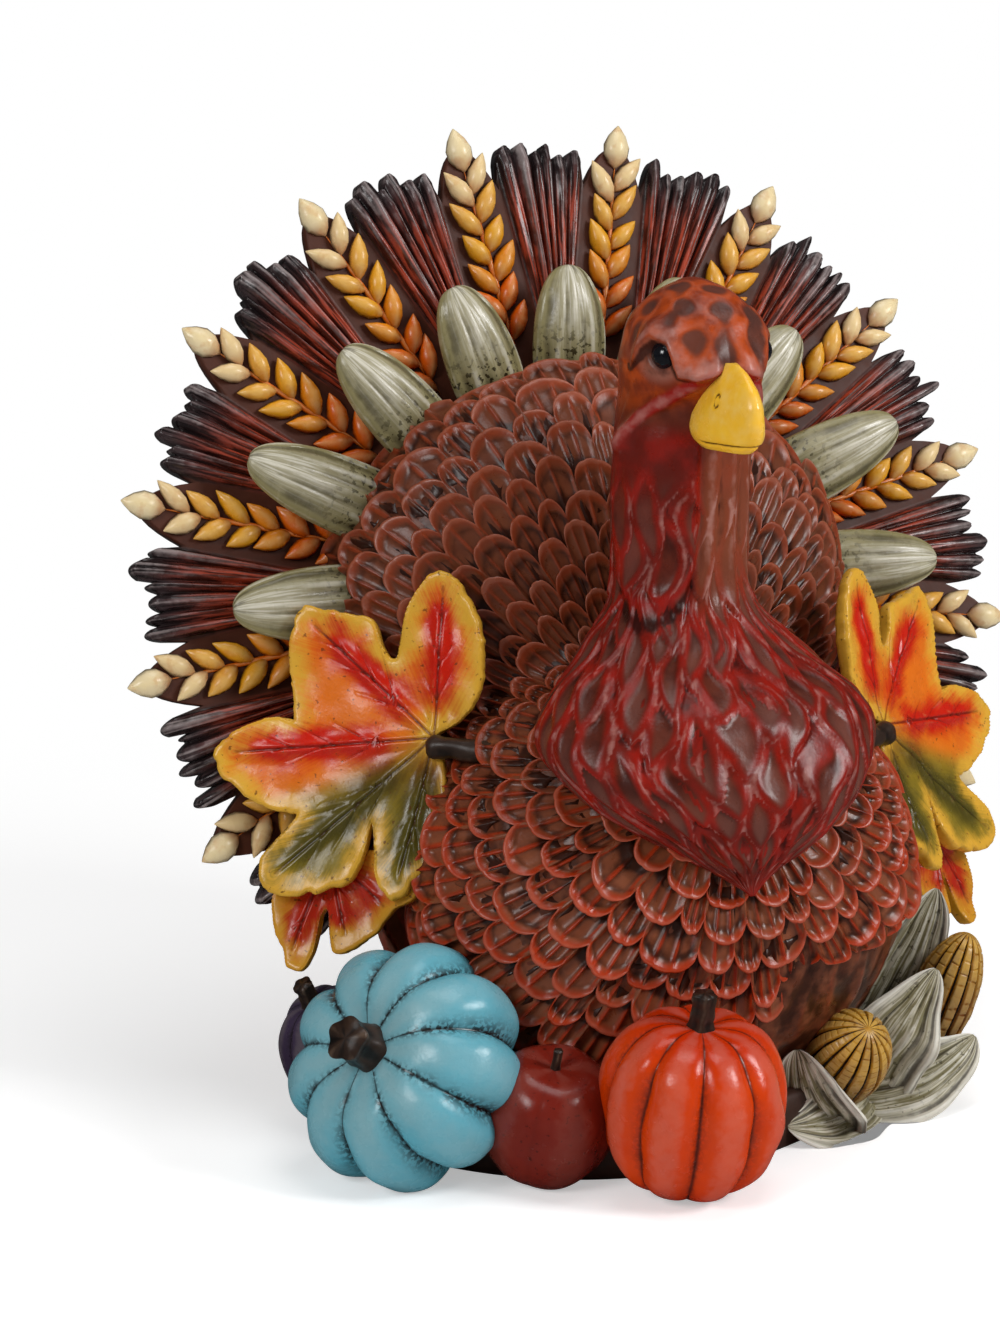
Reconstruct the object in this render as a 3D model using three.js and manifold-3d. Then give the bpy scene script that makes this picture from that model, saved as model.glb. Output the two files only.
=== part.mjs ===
// Turkey figure in hand-painted cast resin: a tail fan with wheat ears and husk petals, a body
// covered in scale feathers, a head with a red bib, maple leaves, and a harvest round the base.
// Millimetres, +Z up. The figure faces -Y and stands on z = 0; the origin is under its middle.

import * as THREE from 'three';
import { mergeVertices } from 'three/addons/utils/BufferGeometryUtils.js';
import Module from 'manifold-3d';

const wasm = await Module();
wasm.setup();

// Driving dimensions, in millimetres and degrees

const GLUE_GAP = 0.3; // between neighbouring pieces

const BASE_HEIGHT = 12;
const BASE_BEVEL = 2;
const BASE_FRONT = 36; // from the middle to the edge
const BASE_BACK = 72;
const BASE_LEFT = 70;
const BASE_RIGHT = 58;
const BASE_FACETS = 32;

const MANTLE_HALF_WIDTH = 63; // upper lobe of the body, in front of the fan
const MANTLE_HALF_DEPTH = 34;
const MANTLE_HALF_HEIGHT = 58;
const MANTLE_BACK = 50;
const MANTLE_HEIGHT = 104;
const BELLY_HALF_WIDTH = 57; // lower lobe of the body
const BELLY_HALF_DEPTH = 43;
const BELLY_HALF_HEIGHT = 52;
const BELLY_BACK = 6;
const BELLY_HEIGHT = 52;
const LOBE_BLEND = 4; // a higher power makes a sharper fold between the lobes

const SCALES_PER_RING = 20; // scale feathers of the body
const SCALE_RINGS = 8;
const FIRST_RING_ANGLE = 32; // angle from the bib
const RING_ANGLE = 9; // from one ring to the next
const SCALE_LIFT = 2;
const SCALE_STEP_ANGLE = 0.9; // angle taken by the step down to the next ring

const RUMP_HALF_WIDTH = 56;
const RUMP_DEPTH = 44;
const RUMP_HALF_HEIGHT = 54;
const RUMP_HEIGHT = 52;

const BIB_TIP_FRONT = 41;
const BIB_TIP_HEIGHT = 61;
const BIB_HALF_WIDTH = 38.5;
const BIB_HALF_DEPTH = 25;
const BIB_FRONT = 17; // middle of the bib, in front of the origin
const BIB_HEIGHT = 93;
const BIB_ROUNDNESS = 1.2; // a lower power makes a blunter tip
const NECK_RADIUS = 14.8;
const NECK_FRONT = 1;
const NECK_FOOT = 123; // height where the neck begins to flare into the bib
const NECK_HEIGHT = 146;
const HEAD_HALF_WIDTH = 15.5;
const HEAD_HALF_DEPTH = 18;
const HEAD_HALF_HEIGHT = 17;
const HEAD_FRONT = 7;
const HEAD_HEIGHT = 171;
const EYE_RADIUS = 3.2;
const EYE_ANGLE = 53; // to each side of straight ahead
const EYE_RISE = 2.5; // above the middle of the head
const EYE_SINK = 2; // depth of its middle in the face
const BEAK_LENGTH = 15; // out of the face
const BEAK_SEAT = 1; // depth of its root in the face
const BEAK_HALF_WIDTH = 6.7;
const BEAK_HEIGHT = 17.8; // from the gape to the bridge
const BEAK_DROP = 16.5; // gape below the middle of the head
const BEAK_KEEL = 1.3; // a higher power makes a sharper bridge
// Sections of the beak: shares of its height, of its half width and of its length
const BEAK_SECTIONS = [
  [0, 0.65, 0.63],
  [0.1, 0.93, 0.85],
  [0.21, 1, 0.95],
  [0.39, 0.9, 1],
  [0.6, 0.69, 0.96],
  [0.79, 0.5, 0.8],
  [0.93, 0.32, 0.55],
];

const FAN_BACK = 54; // hub of the tail fan
const FAN_HEIGHT = 110;
const FAN_ANGLE = 16.2; // lean to the back
const FAN_THICKNESS = 7;
const FEATHER_COUNT = 13;
const FEATHER_ANGLE = 21.65; // from one feather to the next
const FEATHER_REACH = 106;
const FEATHER_EDGE_THICKNESS = 4;
const FLUTES = 4; // on each feather
const FLUTE_HEIGHT = 3.6;
const FLUTE_START = 66;
const FEATHER_JAG = 2.6; // unevenness of the feather ends
const FEATHER_ROUND = 3.2; // loss of reach towards the edges of a feather
const PANEL_REACH = 109; // middle of the panels behind the wheat
const TANG_HALF_WIDTH = 44; // the fan's foot, between the body and the rump

const GRAIN_PAIRS = 7; // wheat ears
const GRAIN_LENGTH = 9;
const GRAIN_HALF_WIDTH = 2.1;
const GRAIN_HEIGHT = 3.4;
const GRAIN_ANGLE = 33;
const GRAIN_STAGGER = 0.25; // of a pair, to each side of its middle, as a share of the pitch
const EAR_ROOT = 59;
const EAR_REACH = 112;
const TIP_GRAIN_LENGTH = 10;
const TIP_GRAIN_HALF_WIDTH = 3.4;
const RACHIS_HALF_WIDTH = 1.2;
const RACHIS_HEIGHT = 1.6;
const RACHIS_FOOT = 2.5; // beyond the lowest grains

const PETAL_COUNT = 9; // green husk petals round the mantle
const PETAL_ANGLE = 22.4; // from one petal to the next
const PETAL_ROOT = 45;
const PETAL_REACH = 75;
const PETAL_SIDE_REACH = 13; // extra reach of the outermost petals
const PETAL_HALF_WIDTH = 8.9;
const PETAL_HALF_THICKNESS = 4.4;
const PETAL_ROOT_LIFT = 3.8; // above the fan
const PETAL_TIP_LIFT = 11;
const PETAL_CUP = 0.8; // droop of the long edges
const PETAL_BLUNTNESS = 0.42; // a lower power makes a rounder tip

const LEAF_THICKNESS = 3;
const LEAF_CUP = 4;
const LEAF_ANGLE = 36; // the leaf's face, away from straight ahead
const LEAF_TILT_ANGLE = 17;
const LEAF_STANDOFF = 4; // joint of the big leaf, off the body
const LEAF_STALK_RADIUS = 2.7;
const LEAF_STALK_TAPER = 0.8;
const LEAF_STALK_SEAT = 3.5; // depth of its foot in the body
const LEAF_STALK_LAP = 5.5; // length of the stalk on the leaf
// Leaf forms: outlines from the joint, outward and upward, one lobe to a line, and their middles
const BIG_LEAF = {
  outline: [
    [4, 2], [-1, 6], [-4.6, 11], [-5.6, 18], [-4.9, 25.6], [-2.5, 31.4], [5.9, 38.5], [12.2, 29],
    [14.4, 18.8], [17.3, 21], [19.5, 26], [26.6, 28], [35.6, 29.2], [38.4, 19.8], [37.7, 12.7],
    [36.2, 4.2], [39.8, 4.4], [44.4, 3.4], [49, 0.6], [53, -5.4], [50.9, -9.4], [41.7, -15.1],
    [33.7, -16.6], [35.5, -19.5], [41.1, -27.6], [40.9, -31.4], [33.5, -34.5], [22.3, -31.7],
    [17.7, -24.2], [16.6, -17.5], [15.2, -24.6], [13.2, -31], [9, -33.2], [2.5, -25.9], [-0.2, -14.2],
  ],
  hub: [17, 2],
};
const SMALL_LEAF = {
  outline: [
    [-4, 2], [10, 3], [20, 3], [27, -1], [30.5, -8.2], [29.1, -16.8], [25.6, -23.7], [22.3, -24.1],
    [19.9, -16.7], [18.5, -10.5], [16.8, -16.5], [15.2, -20.2], [11.4, -18.7], [6.3, -14.5], [-3, -6],
  ],
  hub: [19, -4],
};
// Leaf places on the body: angle from the bib, and turn from the top
const LEAF_SIDES = {
  left: { side: -1, joint: [71, 84], stalkFoot: [50, 84], smallJoint: [79, 110] },
  right: { side: 1, joint: [68, 91], stalkFoot: [47, 90], smallJoint: [76, 115] },
};

const SQUASH_FLAT = 0.8; // worn off the underside of each fruit
const STEM_SEAT = 0.3; // share of each stem that is set into its fruit
// Fruit: place on the floor, way its axis leans, ribs, and depth of grooves and dimple as shares
const BLUE_PUMPKIN = {
  place: [-68.5, -15],
  lean: [-0.74, -0.49, 0.465],
  radius: 27,
  halfHeight: 21,
  ribs: 9,
  pointsPerRib: 4,
  groove: 0.16,
  dimple: 0.22,
  stemLength: 12,
  stemRadius: 4.6,
};
const ORANGE_PUMPKIN = {
  place: [-16, -46.5],
  lean: [0.03, -0.16, 1],
  radius: 21,
  halfHeight: 21.5,
  ribs: 9,
  pointsPerRib: 4,
  groove: 0.12,
  dimple: 0.14,
  stemLength: 11,
  stemRadius: 2.6,
};
const PURPLE_GOURD = {
  place: [-72, 20],
  lean: [-0.45, -0.25, 0.86],
  radius: 12.5,
  halfHeight: 17.5,
  ribs: 7,
  pointsPerRib: 2,
  groove: 0.13,
  dimple: 0.05,
  stemLength: 9,
  stemRadius: 2.2,
};
const APPLE = {
  place: [-42, -30],
  lean: [0.02, -0.3, 0.95],
  radius: 14.5,
  halfHeight: 15.5,
  ribs: 5,
  pointsPerRib: 3,
  groove: 0.03,
  dimple: 0.2,
  stemLength: 7,
  stemRadius: 1,
};

// Corn cobs: point of the cob, and the way it points
const FRONT_COB = { tip: [32, -33.5, 26], lean: [0.046, -0.7, 0.713], radius: 9.7, length: 30 };
const BACK_COB = { tip: [67.5, -13.8, 38], lean: [0.29, -0.16, 0.97], radius: 7.3, length: 34 };
const KERNEL_ROWS = 8;
const KERNEL_GROOVE = 0.06; // share of the radius

// Corn husks: root, bend and point of each, and the way it faces
const HUSK_HALF_THICKNESS = 1.7;
const HUSK_CUP = -2.2; // rise of the long edges
const HUSK_BLUNTNESS = 0.6;
const HUSKS = {
  corn_husk_left: {
    curve: [[30, -19, 3], [20, -30, 5], [18, -27, 21]],
    face: [-0.7, -0.7, 0.2],
    halfWidth: 9,
  },
  corn_husk_low: {
    curve: [[44, -12, 4], [30, -30, 2], [14, -31, 5]],
    face: [0.2, -0.8, 0.5],
    halfWidth: 7,
  },
  corn_husk_middle: {
    curve: [[42, -10, 5], [44, -22, 16], [56, -20, 33]],
    face: [-0.3, -0.9, 0.3],
    halfWidth: 10,
  },
  corn_husk_right: {
    curve: [[38, -14, 3], [52, -24, 4], [67, -19, 15.5]],
    face: [0.1, -0.8, 0.6],
    halfWidth: 8.5,
  },
  corn_husk_back: {
    curve: [[50, 0, 14], [57, -6, 30], [61, -10, 48.5]],
    face: [-0.2, -0.9, 0.3],
    halfWidth: 8.5,
  },
};

// Small tools

const { degToRad, radToDeg, lerp, smoothstep } = THREE.MathUtils;
const vec = (x, y, z) => new THREE.Vector3(x, y, z);
const unit = (xyz) => vec(...xyz).normalize();
const count = (n, make) => Array.from({ length: n }, (_, i) => make(i));

/** Sideways and straight parts of a radius turned by an angle. */
function turned(radius, angle) {
  return [radius * Math.sin(degToRad(angle)), radius * Math.cos(degToRad(angle))];
}

/** Closed skin over a stack of loops with equal numbers of points, ended by two single points. */
function loft(start, loops, end) {
  const size = loops[0].length;
  const points = [start, ...loops.flat(), end];
  const at = (row, column) => 1 + row * size + (column % size);
  const last = loops.length - 1;
  const index = [];
  for (let c = 0; c < size; c += 1) {
    index.push(0, at(0, c + 1), at(0, c));
    for (let r = 0; r < last; r += 1) {
      index.push(at(r, c), at(r, c + 1), at(r + 1, c));
      index.push(at(r, c + 1), at(r + 1, c + 1), at(r + 1, c));
    }
    index.push(points.length - 1, at(last, c), at(last, c + 1));
  }
  return new THREE.BufferGeometry().setFromPoints(points).setIndex(index);
}

/** Volume inside a closed skin, negative when its faces point inwards. */
function signedVolume(position, triangles) {
  const [a, b, c] = [vec(), vec(), vec()];
  let volume = 0;
  for (let i = 0; i < triangles.length; i += 3) {
    a.fromBufferAttribute(position, triangles[i]);
    b.fromBufferAttribute(position, triangles[i + 1]);
    c.fromBufferAttribute(position, triangles[i + 2]);
    volume += a.dot(b.cross(c)) / 6;
  }
  return volume;
}

/** Solid inside a closed geometry. */
function solid(geometry) {
  geometry.deleteAttribute('normal');
  geometry.deleteAttribute('uv');
  const merged = mergeVertices(geometry);
  const { position } = merged.attributes;
  const triVerts = Uint32Array.from(merged.index.array);
  if (signedVolume(position, triVerts) < 0) triVerts.reverse();
  return new wasm.Manifold(new wasm.Mesh({ numProp: 3, vertProperties: position.array, triVerts }));
}

/** Turn that takes +Z to a direction. */
const aim = (direction) => new THREE.Quaternion().setFromUnitVectors(vec(0, 0, 1), direction);

/** Geometry modelled along +Z, laid along a direction from a place. */
function lay(geometry, place, direction) {
  geometry.applyQuaternion(aim(direction.clone().normalize()));
  return geometry.translate(place.x, place.y, place.z);
}

const BLOCK = 600;

/** Everything behind a plane through a point, as a large block. */
function behind(point, normal) {
  const block = new THREE.BoxGeometry(BLOCK, BLOCK, BLOCK).translate(0, 0, -BLOCK / 2);
  return solid(lay(block, point, normal));
}

const below = (height) => behind(vec(0, 0, height), vec(0, 0, 1));

/** Largest part of a solid, without the chips that a cut can leave. */
function largest(shape) {
  return shape.decompose().reduce((a, b) => (a.volume() > b.volume() ? a : b));
}

const figure = new THREE.Group();
const neighbours = [];

function boxOf(shape) {
  const { min, max } = shape.boundingBox();
  return new THREE.Box3(vec(...min), vec(...max));
}

/**
 * Adds a piece to a group. shape(grow) gives its solid, swollen by grow. The piece gives way to
 * every earlier piece that it meets, by the glue gap. Later pieces give way to it if it keeps room.
 */
function add(group, name, colour, roughness, shape, { keepsRoom = true } = {}) {
  let cast = shape(0);
  const box = boxOf(cast);
  for (const other of neighbours) {
    if (other.box.intersectsBox(box)) cast = cast.subtract(other.swollen);
  }
  if (keepsRoom) {
    const swollen = shape(GLUE_GAP);
    neighbours.push({ swollen, box: boxOf(swollen) });
  }
  const { vertProperties, triVerts } = largest(cast).getMesh();
  const geometry = new THREE.BufferGeometry();
  geometry.setAttribute('position', new THREE.BufferAttribute(vertProperties, 3));
  geometry.setIndex(new THREE.BufferAttribute(triVerts, 1));
  geometry.computeVertexNormals();
  const paint = new THREE.MeshStandardMaterial({ color: colour, roughness, metalness: 0 });
  const mesh = new THREE.Mesh(geometry, paint);
  mesh.name = name;
  group.add(mesh);
}

function subgroup(name) {
  const group = new THREE.Group();
  group.name = name;
  figure.add(group);
  return group;
}

// Frame of the tail fan: across is +X, up runs along the leaning plate, out is its front

const FAN_HUB = vec(0, FAN_BACK, FAN_HEIGHT);
const FAN_UP = vec(0, Math.sin(degToRad(FAN_ANGLE)), Math.cos(degToRad(FAN_ANGLE)));
const FAN_OUT = vec(0, -FAN_UP.z, FAN_UP.y);

function onFan(across, up, out) {
  const point = FAN_HUB.clone().add(vec(across, 0, 0));
  return point.addScaledVector(FAN_UP, up).addScaledVector(FAN_OUT, out);
}

const behindFan = (out) => behind(onFan(0, 0, out), FAN_OUT);
const beforeFan = (out) => behind(onFan(0, 0, out), FAN_OUT.clone().negate());

// Head and neck: elliptic sections from the tip of the bib to the crown

function section(y, z, halfWidth, halfDepth) {
  const sides = 16;
  return count(sides, (i) => {
    const [x, front] = turned(1, (360 * i) / sides);
    return vec(x * halfWidth, y - front * halfDepth, z);
  });
}

function headAndNeck(grow) {
  const bibSteps = 5;
  const neckSteps = 6;
  const headSteps = 6;
  const jaw = -62; // latitudes of the lowest and highest sections of the head
  const crownEdge = 72;
  const bib = count(bibSteps, (i) => {
    const t = (i + 1) / (bibSteps + 1);
    const swell = Math.sin((t * Math.PI) / 2) ** BIB_ROUNDNESS;
    const y = -lerp(BIB_TIP_FRONT, BIB_FRONT, t);
    const z = lerp(BIB_TIP_HEIGHT, BIB_HEIGHT, t);
    return section(y, z, BIB_HALF_WIDTH * swell + grow, BIB_HALF_DEPTH * swell + grow);
  });
  const neck = count(neckSteps, (i) => {
    const z = lerp(BIB_HEIGHT, NECK_HEIGHT, i / neckSteps);
    const slim = smoothstep(z, BIB_HEIGHT, NECK_FOOT);
    const halfWidth = lerp(BIB_HALF_WIDTH, NECK_RADIUS, slim) + grow;
    const halfDepth = lerp(BIB_HALF_DEPTH, NECK_RADIUS, slim) + grow;
    const y = -lerp(BIB_FRONT, NECK_FRONT, slim);
    return section(y, z, halfWidth, halfDepth);
  });
  const head = count(headSteps, (i) => {
    const [rise, round] = turned(1, lerp(jaw, crownEdge, i / (headSteps - 1)));
    const lower = Math.max(0, -rise);
    const halfWidth = Math.max(HEAD_HALF_WIDTH * round, NECK_RADIUS * lower) + grow;
    const halfDepth = Math.max(HEAD_HALF_DEPTH * round, NECK_RADIUS * lower) + grow;
    const y = -lerp(HEAD_FRONT, NECK_FRONT, lower);
    return section(y, HEAD_HEIGHT + rise * HEAD_HALF_HEIGHT, halfWidth, halfDepth);
  });
  const tip = vec(0, -BIB_TIP_FRONT - grow, BIB_TIP_HEIGHT - grow);
  const crown = vec(0, -HEAD_FRONT, HEAD_HEIGHT + HEAD_HALF_HEIGHT + grow);
  return solid(loft(tip, [...bib, ...neck, ...head], crown));
}

/** Point in the head, to one side of straight ahead, at a rise above its middle, sunk in its skin. */
function onHead(turn, rise, sink) {
  const round = Math.sqrt(1 - (rise / HEAD_HALF_HEIGHT) ** 2);
  const [side, front] = turned(round, turn);
  const x = side * (HEAD_HALF_WIDTH - sink);
  return vec(x, -HEAD_FRONT - front * (HEAD_HALF_DEPTH - sink), HEAD_HEIGHT + rise);
}

function eye(side, grow) {
  const centre = onHead(side * EYE_ANGLE, EYE_RISE, EYE_SINK);
  const ball = new THREE.SphereGeometry(EYE_RADIUS + grow, 10, 7);
  return solid(ball.translate(centre.x, centre.y, centre.z));
}

/** Short hooked beak: level sections from the flat gape to the narrow bridge, keeled in front. */
function beak(grow) {
  const sides = 14;
  const root = BEAK_SEAT - HEAD_FRONT - HEAD_HALF_DEPTH;
  const gape = HEAD_HEIGHT - BEAK_DROP;
  const loops = BEAK_SECTIONS.map(([up, wide, far], s) => count(sides, (i) => {
    const [side, ahead] = turned(1, (360 * i) / sides);
    const keel = Math.sign(ahead) * Math.abs(ahead) ** BEAK_KEEL;
    const x = side * (BEAK_HALF_WIDTH * wide + grow);
    const y = root - keel * (BEAK_LENGTH * far + grow);
    return vec(x, y, gape + up * BEAK_HEIGHT - (s ? 0 : grow));
  }));
  const base = vec(0, root, gape - grow);
  const bridge = vec(0, root, gape + BEAK_HEIGHT + grow);
  return solid(loft(base, loops, bridge));
}

// Body: two blended lobes seen from a point inside both, with rings of scale feathers round the bib

const HEART = vec(0, (MANTLE_BACK + BELLY_BACK) / 2, (MANTLE_HEIGHT + BELLY_HEIGHT) / 2);
const POLE = unit([0, -0.988, 0.152]); // from the heart to the bib
const POLE_UP = vec(0, POLE.z, -POLE.y);

const LOBES = [
  {
    centre: vec(0, MANTLE_BACK, MANTLE_HEIGHT),
    radii: vec(MANTLE_HALF_WIDTH, MANTLE_HALF_DEPTH, MANTLE_HALF_HEIGHT),
  },
  {
    centre: vec(0, BELLY_BACK, BELLY_HEIGHT),
    radii: vec(BELLY_HALF_WIDTH, BELLY_HALF_DEPTH, BELLY_HALF_HEIGHT),
  },
];

/** Distance from the heart to a lobe's surface along a direction. */
function lobeReach(direction, { centre, radii }) {
  const from = HEART.clone().sub(centre).divide(radii);
  const along = direction.clone().divide(radii);
  const a = along.dot(along);
  const b = from.dot(along);
  const c = from.dot(from) - 1;
  return (Math.sqrt(b * b - a * c) - b) / a;
}

/** Point of the body at an angle from the bib and a turn round it, zero at the top. */
function onBody(angle, turn, lift) {
  const [ring, along] = turned(1, angle);
  const [across, up] = turned(ring, turn);
  const direction = vec(across, 0, 0).addScaledVector(POLE_UP, up).addScaledVector(POLE, along);
  const sum = LOBES.reduce((part, lobe) => part + lobeReach(direction, lobe) ** LOBE_BLEND, 0);
  return HEART.clone().addScaledVector(direction, sum ** (1 / LOBE_BLEND) + lift);
}

/** Scalloped edge of a ring of scales: a round tip in the middle of each, a notch between them. */
const SCALLOP = [-0.34, 0.16, 0.36, 0.16];

function body(grow) {
  const columns = SCALES_PER_RING * SCALLOP.length;
  const loops = [];
  for (let ring = 0; ring < SCALE_RINGS; ring += 1) {
    const offset = ring % 2 ? SCALLOP.length / 2 : 0;
    const edge = (c) => FIRST_RING_ANGLE + RING_ANGLE * (ring + SCALLOP[(c + offset) % SCALLOP.length]);
    const turn = (c) => (360 * c) / columns;
    loops.push(count(columns, (c) => onBody(edge(c), turn(c), SCALE_LIFT + grow)));
    loops.push(count(columns, (c) => onBody(edge(c) + SCALE_STEP_ANGLE, turn(c), grow)));
  }
  const front = onBody(0, 0, grow);
  const back = onBody(180, 0, grow);
  const room = GLUE_GAP - grow;
  const whole = solid(loft(front, loops, back));
  return whole.subtract(behindFan(room)).subtract(below(BASE_HEIGHT + room));
}

/** Rounded back of the bird, behind the fan. */
function rump(grow) {
  const middle = onFan(0, (RUMP_HEIGHT - FAN_HEIGHT) / FAN_UP.z, -FAN_THICKNESS);
  const room = GLUE_GAP - grow;
  const ball = new THREE.SphereGeometry(1, 20, 12);
  ball.scale(RUMP_HALF_WIDTH + grow, RUMP_DEPTH + grow, RUMP_HALF_HEIGHT + grow);
  const whole = solid(ball.translate(middle.x, middle.y, middle.z));
  return whole.subtract(beforeFan(-FAN_THICKNESS - room)).subtract(below(BASE_HEIGHT + room));
}

// Tail fan: fluted feathers with jagged ends, flat panels for the wheat between them, and a foot

const EAR_HALF_WIDTH = GRAIN_LENGTH * Math.sin(degToRad(GRAIN_ANGLE)) + GRAIN_HALF_WIDTH;
const PANEL_HALF_WIDTH = RACHIS_HALF_WIDTH + EAR_HALF_WIDTH + GLUE_GAP;
const LAST_FEATHER = (FEATHER_COUNT - 1) / 2;

/** Columns of the fan's grid, each with its angle at a radius, its ridge share and its outer end. */
function fanColumns() {
  const columns = [];
  for (let feather = -LAST_FEATHER; feather <= LAST_FEATHER; feather += 1) {
    for (let j = 0; j <= 2 * FLUTES; j += 1) {
      const u = j / FLUTES - 1;
      const ridge = j % 2;
      const jag = FEATHER_JAG * (Math.sin(2.3 * feather + 1.9 * j) + 0.6 * ridge);
      const half = (radius) => FEATHER_ANGLE / 2 - radToDeg(PANEL_HALF_WIDTH / radius);
      columns.push({
        angle: (radius) => feather * FEATHER_ANGLE + u * half(radius),
        height: ridge * (1 - 0.25 * u * u),
        end: FEATHER_REACH + jag - FEATHER_ROUND * u * u,
      });
    }
    if (feather < LAST_FEATHER) {
      const panel = (feather + 0.5) * FEATHER_ANGLE;
      columns.push({ angle: () => panel, height: 0, end: PANEL_REACH });
    }
  }
  const drop = (FAN_HEIGHT - BASE_HEIGHT) / FAN_UP.z + FAN_THICKNESS;
  const corner = radToDeg(Math.atan(TANG_HALF_WIDTH / drop));
  for (const angle of [180 - 2 * corner, 180 - corner, 180 + corner, 180 + 2 * corner]) {
    const [side, down] = turned(1, angle);
    const end = Math.min(TANG_HALF_WIDTH / Math.abs(side), drop / Math.abs(down));
    columns.push({ angle: () => angle, height: 0, end });
  }
  return columns;
}

function fanPlate() {
  const columns = fanColumns();
  const rise = 0.45; // share of the feather over which the flutes rise
  const ring = (share, front) => columns.map(({ angle, height, end }) => {
    const radius = lerp(Math.min(FLUTE_START, end * 0.9), end, share);
    const flute = height * FLUTE_HEIGHT * Math.min(1, share / rise);
    const back = lerp(FAN_THICKNESS, FEATHER_EDGE_THICKNESS, share) + 0.4 * flute * (1 - share);
    return onFan(...turned(radius, angle(radius)), front ? flute : -back);
  });
  const fronts = [0, rise, 1].map((share) => ring(share, true));
  const backs = [1, rise, 0].map((share) => ring(share, false));
  const plate = solid(loft(onFan(0, 0, 0), [...fronts, ...backs], onFan(0, 0, -FAN_THICKNESS)));
  return plate.subtract(below(BASE_HEIGHT + GLUE_GAP));
}

// Wheat ears: pairs of ridged grains along a rachis, flat on their panels

/** Grain with a flat back and a ridged front, in the plane of the fan. */
function grain(root, heading, length, halfWidth, height) {
  const [dx, dy] = turned(1, heading);
  const at = (along, side, out) => {
    const across = root[0] + dx * along + dy * side;
    return onFan(across, root[1] + dy * along - dx * side, GLUE_GAP + out);
  };
  const middle = length * 0.55;
  const loop = [at(middle, -halfWidth, 0), at(middle, halfWidth, 0), at(middle, 0, height)];
  return solid(loft(at(0, 0, 0), [loop], at(length, 0, 0)));
}

function wheatEar(angle) {
  const tipRoot = EAR_REACH - TIP_GRAIN_LENGTH;
  const pitch = (tipRoot - EAR_ROOT) / GRAIN_PAIRS;
  const foot = turned(EAR_ROOT - RACHIS_FOOT, angle);
  const rachisLength = tipRoot - EAR_ROOT + 2 * RACHIS_FOOT;
  const rachis = grain(foot, angle, rachisLength, RACHIS_HALF_WIDTH, RACHIS_HEIGHT);
  const top = turned(tipRoot, angle);
  const grains = [rachis, grain(top, angle, TIP_GRAIN_LENGTH, TIP_GRAIN_HALF_WIDTH, GRAIN_HEIGHT)];
  for (let pair = 0; pair < GRAIN_PAIRS; pair += 1) {
    for (const side of [-1, 1]) {
      const root = turned(EAR_ROOT + pitch * (pair + GRAIN_STAGGER * side), angle);
      const heading = angle + side * GRAIN_ANGLE;
      grains.push(grain(root, heading, GRAIN_LENGTH, GRAIN_HALF_WIDTH, GRAIN_HEIGHT));
    }
  }
  return wasm.Manifold.union(grains);
}

// Blades: husk petals and corn husks, cupped strips along a curve with a blunt point

function blade({ curve, face, halfWidth, halfThickness, cup, blunt }, grow) {
  const shares = [0, 0.35, 0.7, 0.93];
  const sides = 8;
  const loops = shares.map((t) => {
    const centre = curve.getPoint(t);
    const tangent = curve.getTangent(t);
    const across = tangent.clone().cross(face).normalize();
    const out = across.clone().cross(tangent);
    const taper = Math.sin(Math.PI * lerp(0.27, 1, t)) ** blunt;
    return count(sides, (i) => {
      const [side, rise] = turned(1, (360 * i) / sides);
      const lift = rise * (halfThickness * taper + grow) - cup * side * side * taper;
      const point = centre.clone().addScaledVector(across, side * (halfWidth * taper + grow));
      return point.addScaledVector(out, lift);
    });
  });
  const end = curve.getTangent(1).multiplyScalar(grow).add(curve.getPoint(1));
  const start = curve.getTangent(0).multiplyScalar(-grow).add(curve.getPoint(0));
  return solid(loft(start, loops, end));
}

function petal(place, grow) {
  const angle = place * PETAL_ANGLE;
  const reach = PETAL_REACH + PETAL_SIDE_REACH * Math.min(1, (Math.abs(place) / 3) ** 2);
  const root = onFan(...turned(PETAL_ROOT, angle), PETAL_ROOT_LIFT);
  const middle = onFan(...turned(lerp(PETAL_ROOT, reach, 0.6), angle), PETAL_TIP_LIFT);
  const tip = onFan(...turned(reach, angle), PETAL_TIP_LIFT);
  const curve = new THREE.QuadraticBezierCurve3(root, middle, tip);
  const form = {
    curve,
    face: FAN_OUT,
    halfWidth: PETAL_HALF_WIDTH,
    halfThickness: PETAL_HALF_THICKNESS,
    cup: PETAL_CUP,
    blunt: PETAL_BLUNTNESS,
  };
  return blade(form, grow).subtract(behindFan(GLUE_GAP - grow));
}

// Maple leaves: cupped plates inside an outline

/** Frame of a leaf on one side: outward from the body, upward, and out of its face. */
function leafFrame(side) {
  const turn = degToRad(LEAF_ANGLE);
  const tilt = degToRad(LEAF_TILT_ANGLE);
  const level = Math.cos(tilt);
  const outward = vec(side * Math.cos(turn), Math.sin(turn), 0);
  const face = vec(side * Math.sin(turn) * level, -Math.cos(turn) * level, Math.sin(tilt));
  const upward = outward.clone().cross(face).multiplyScalar(-side);
  return { outward, upward, face };
}

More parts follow.
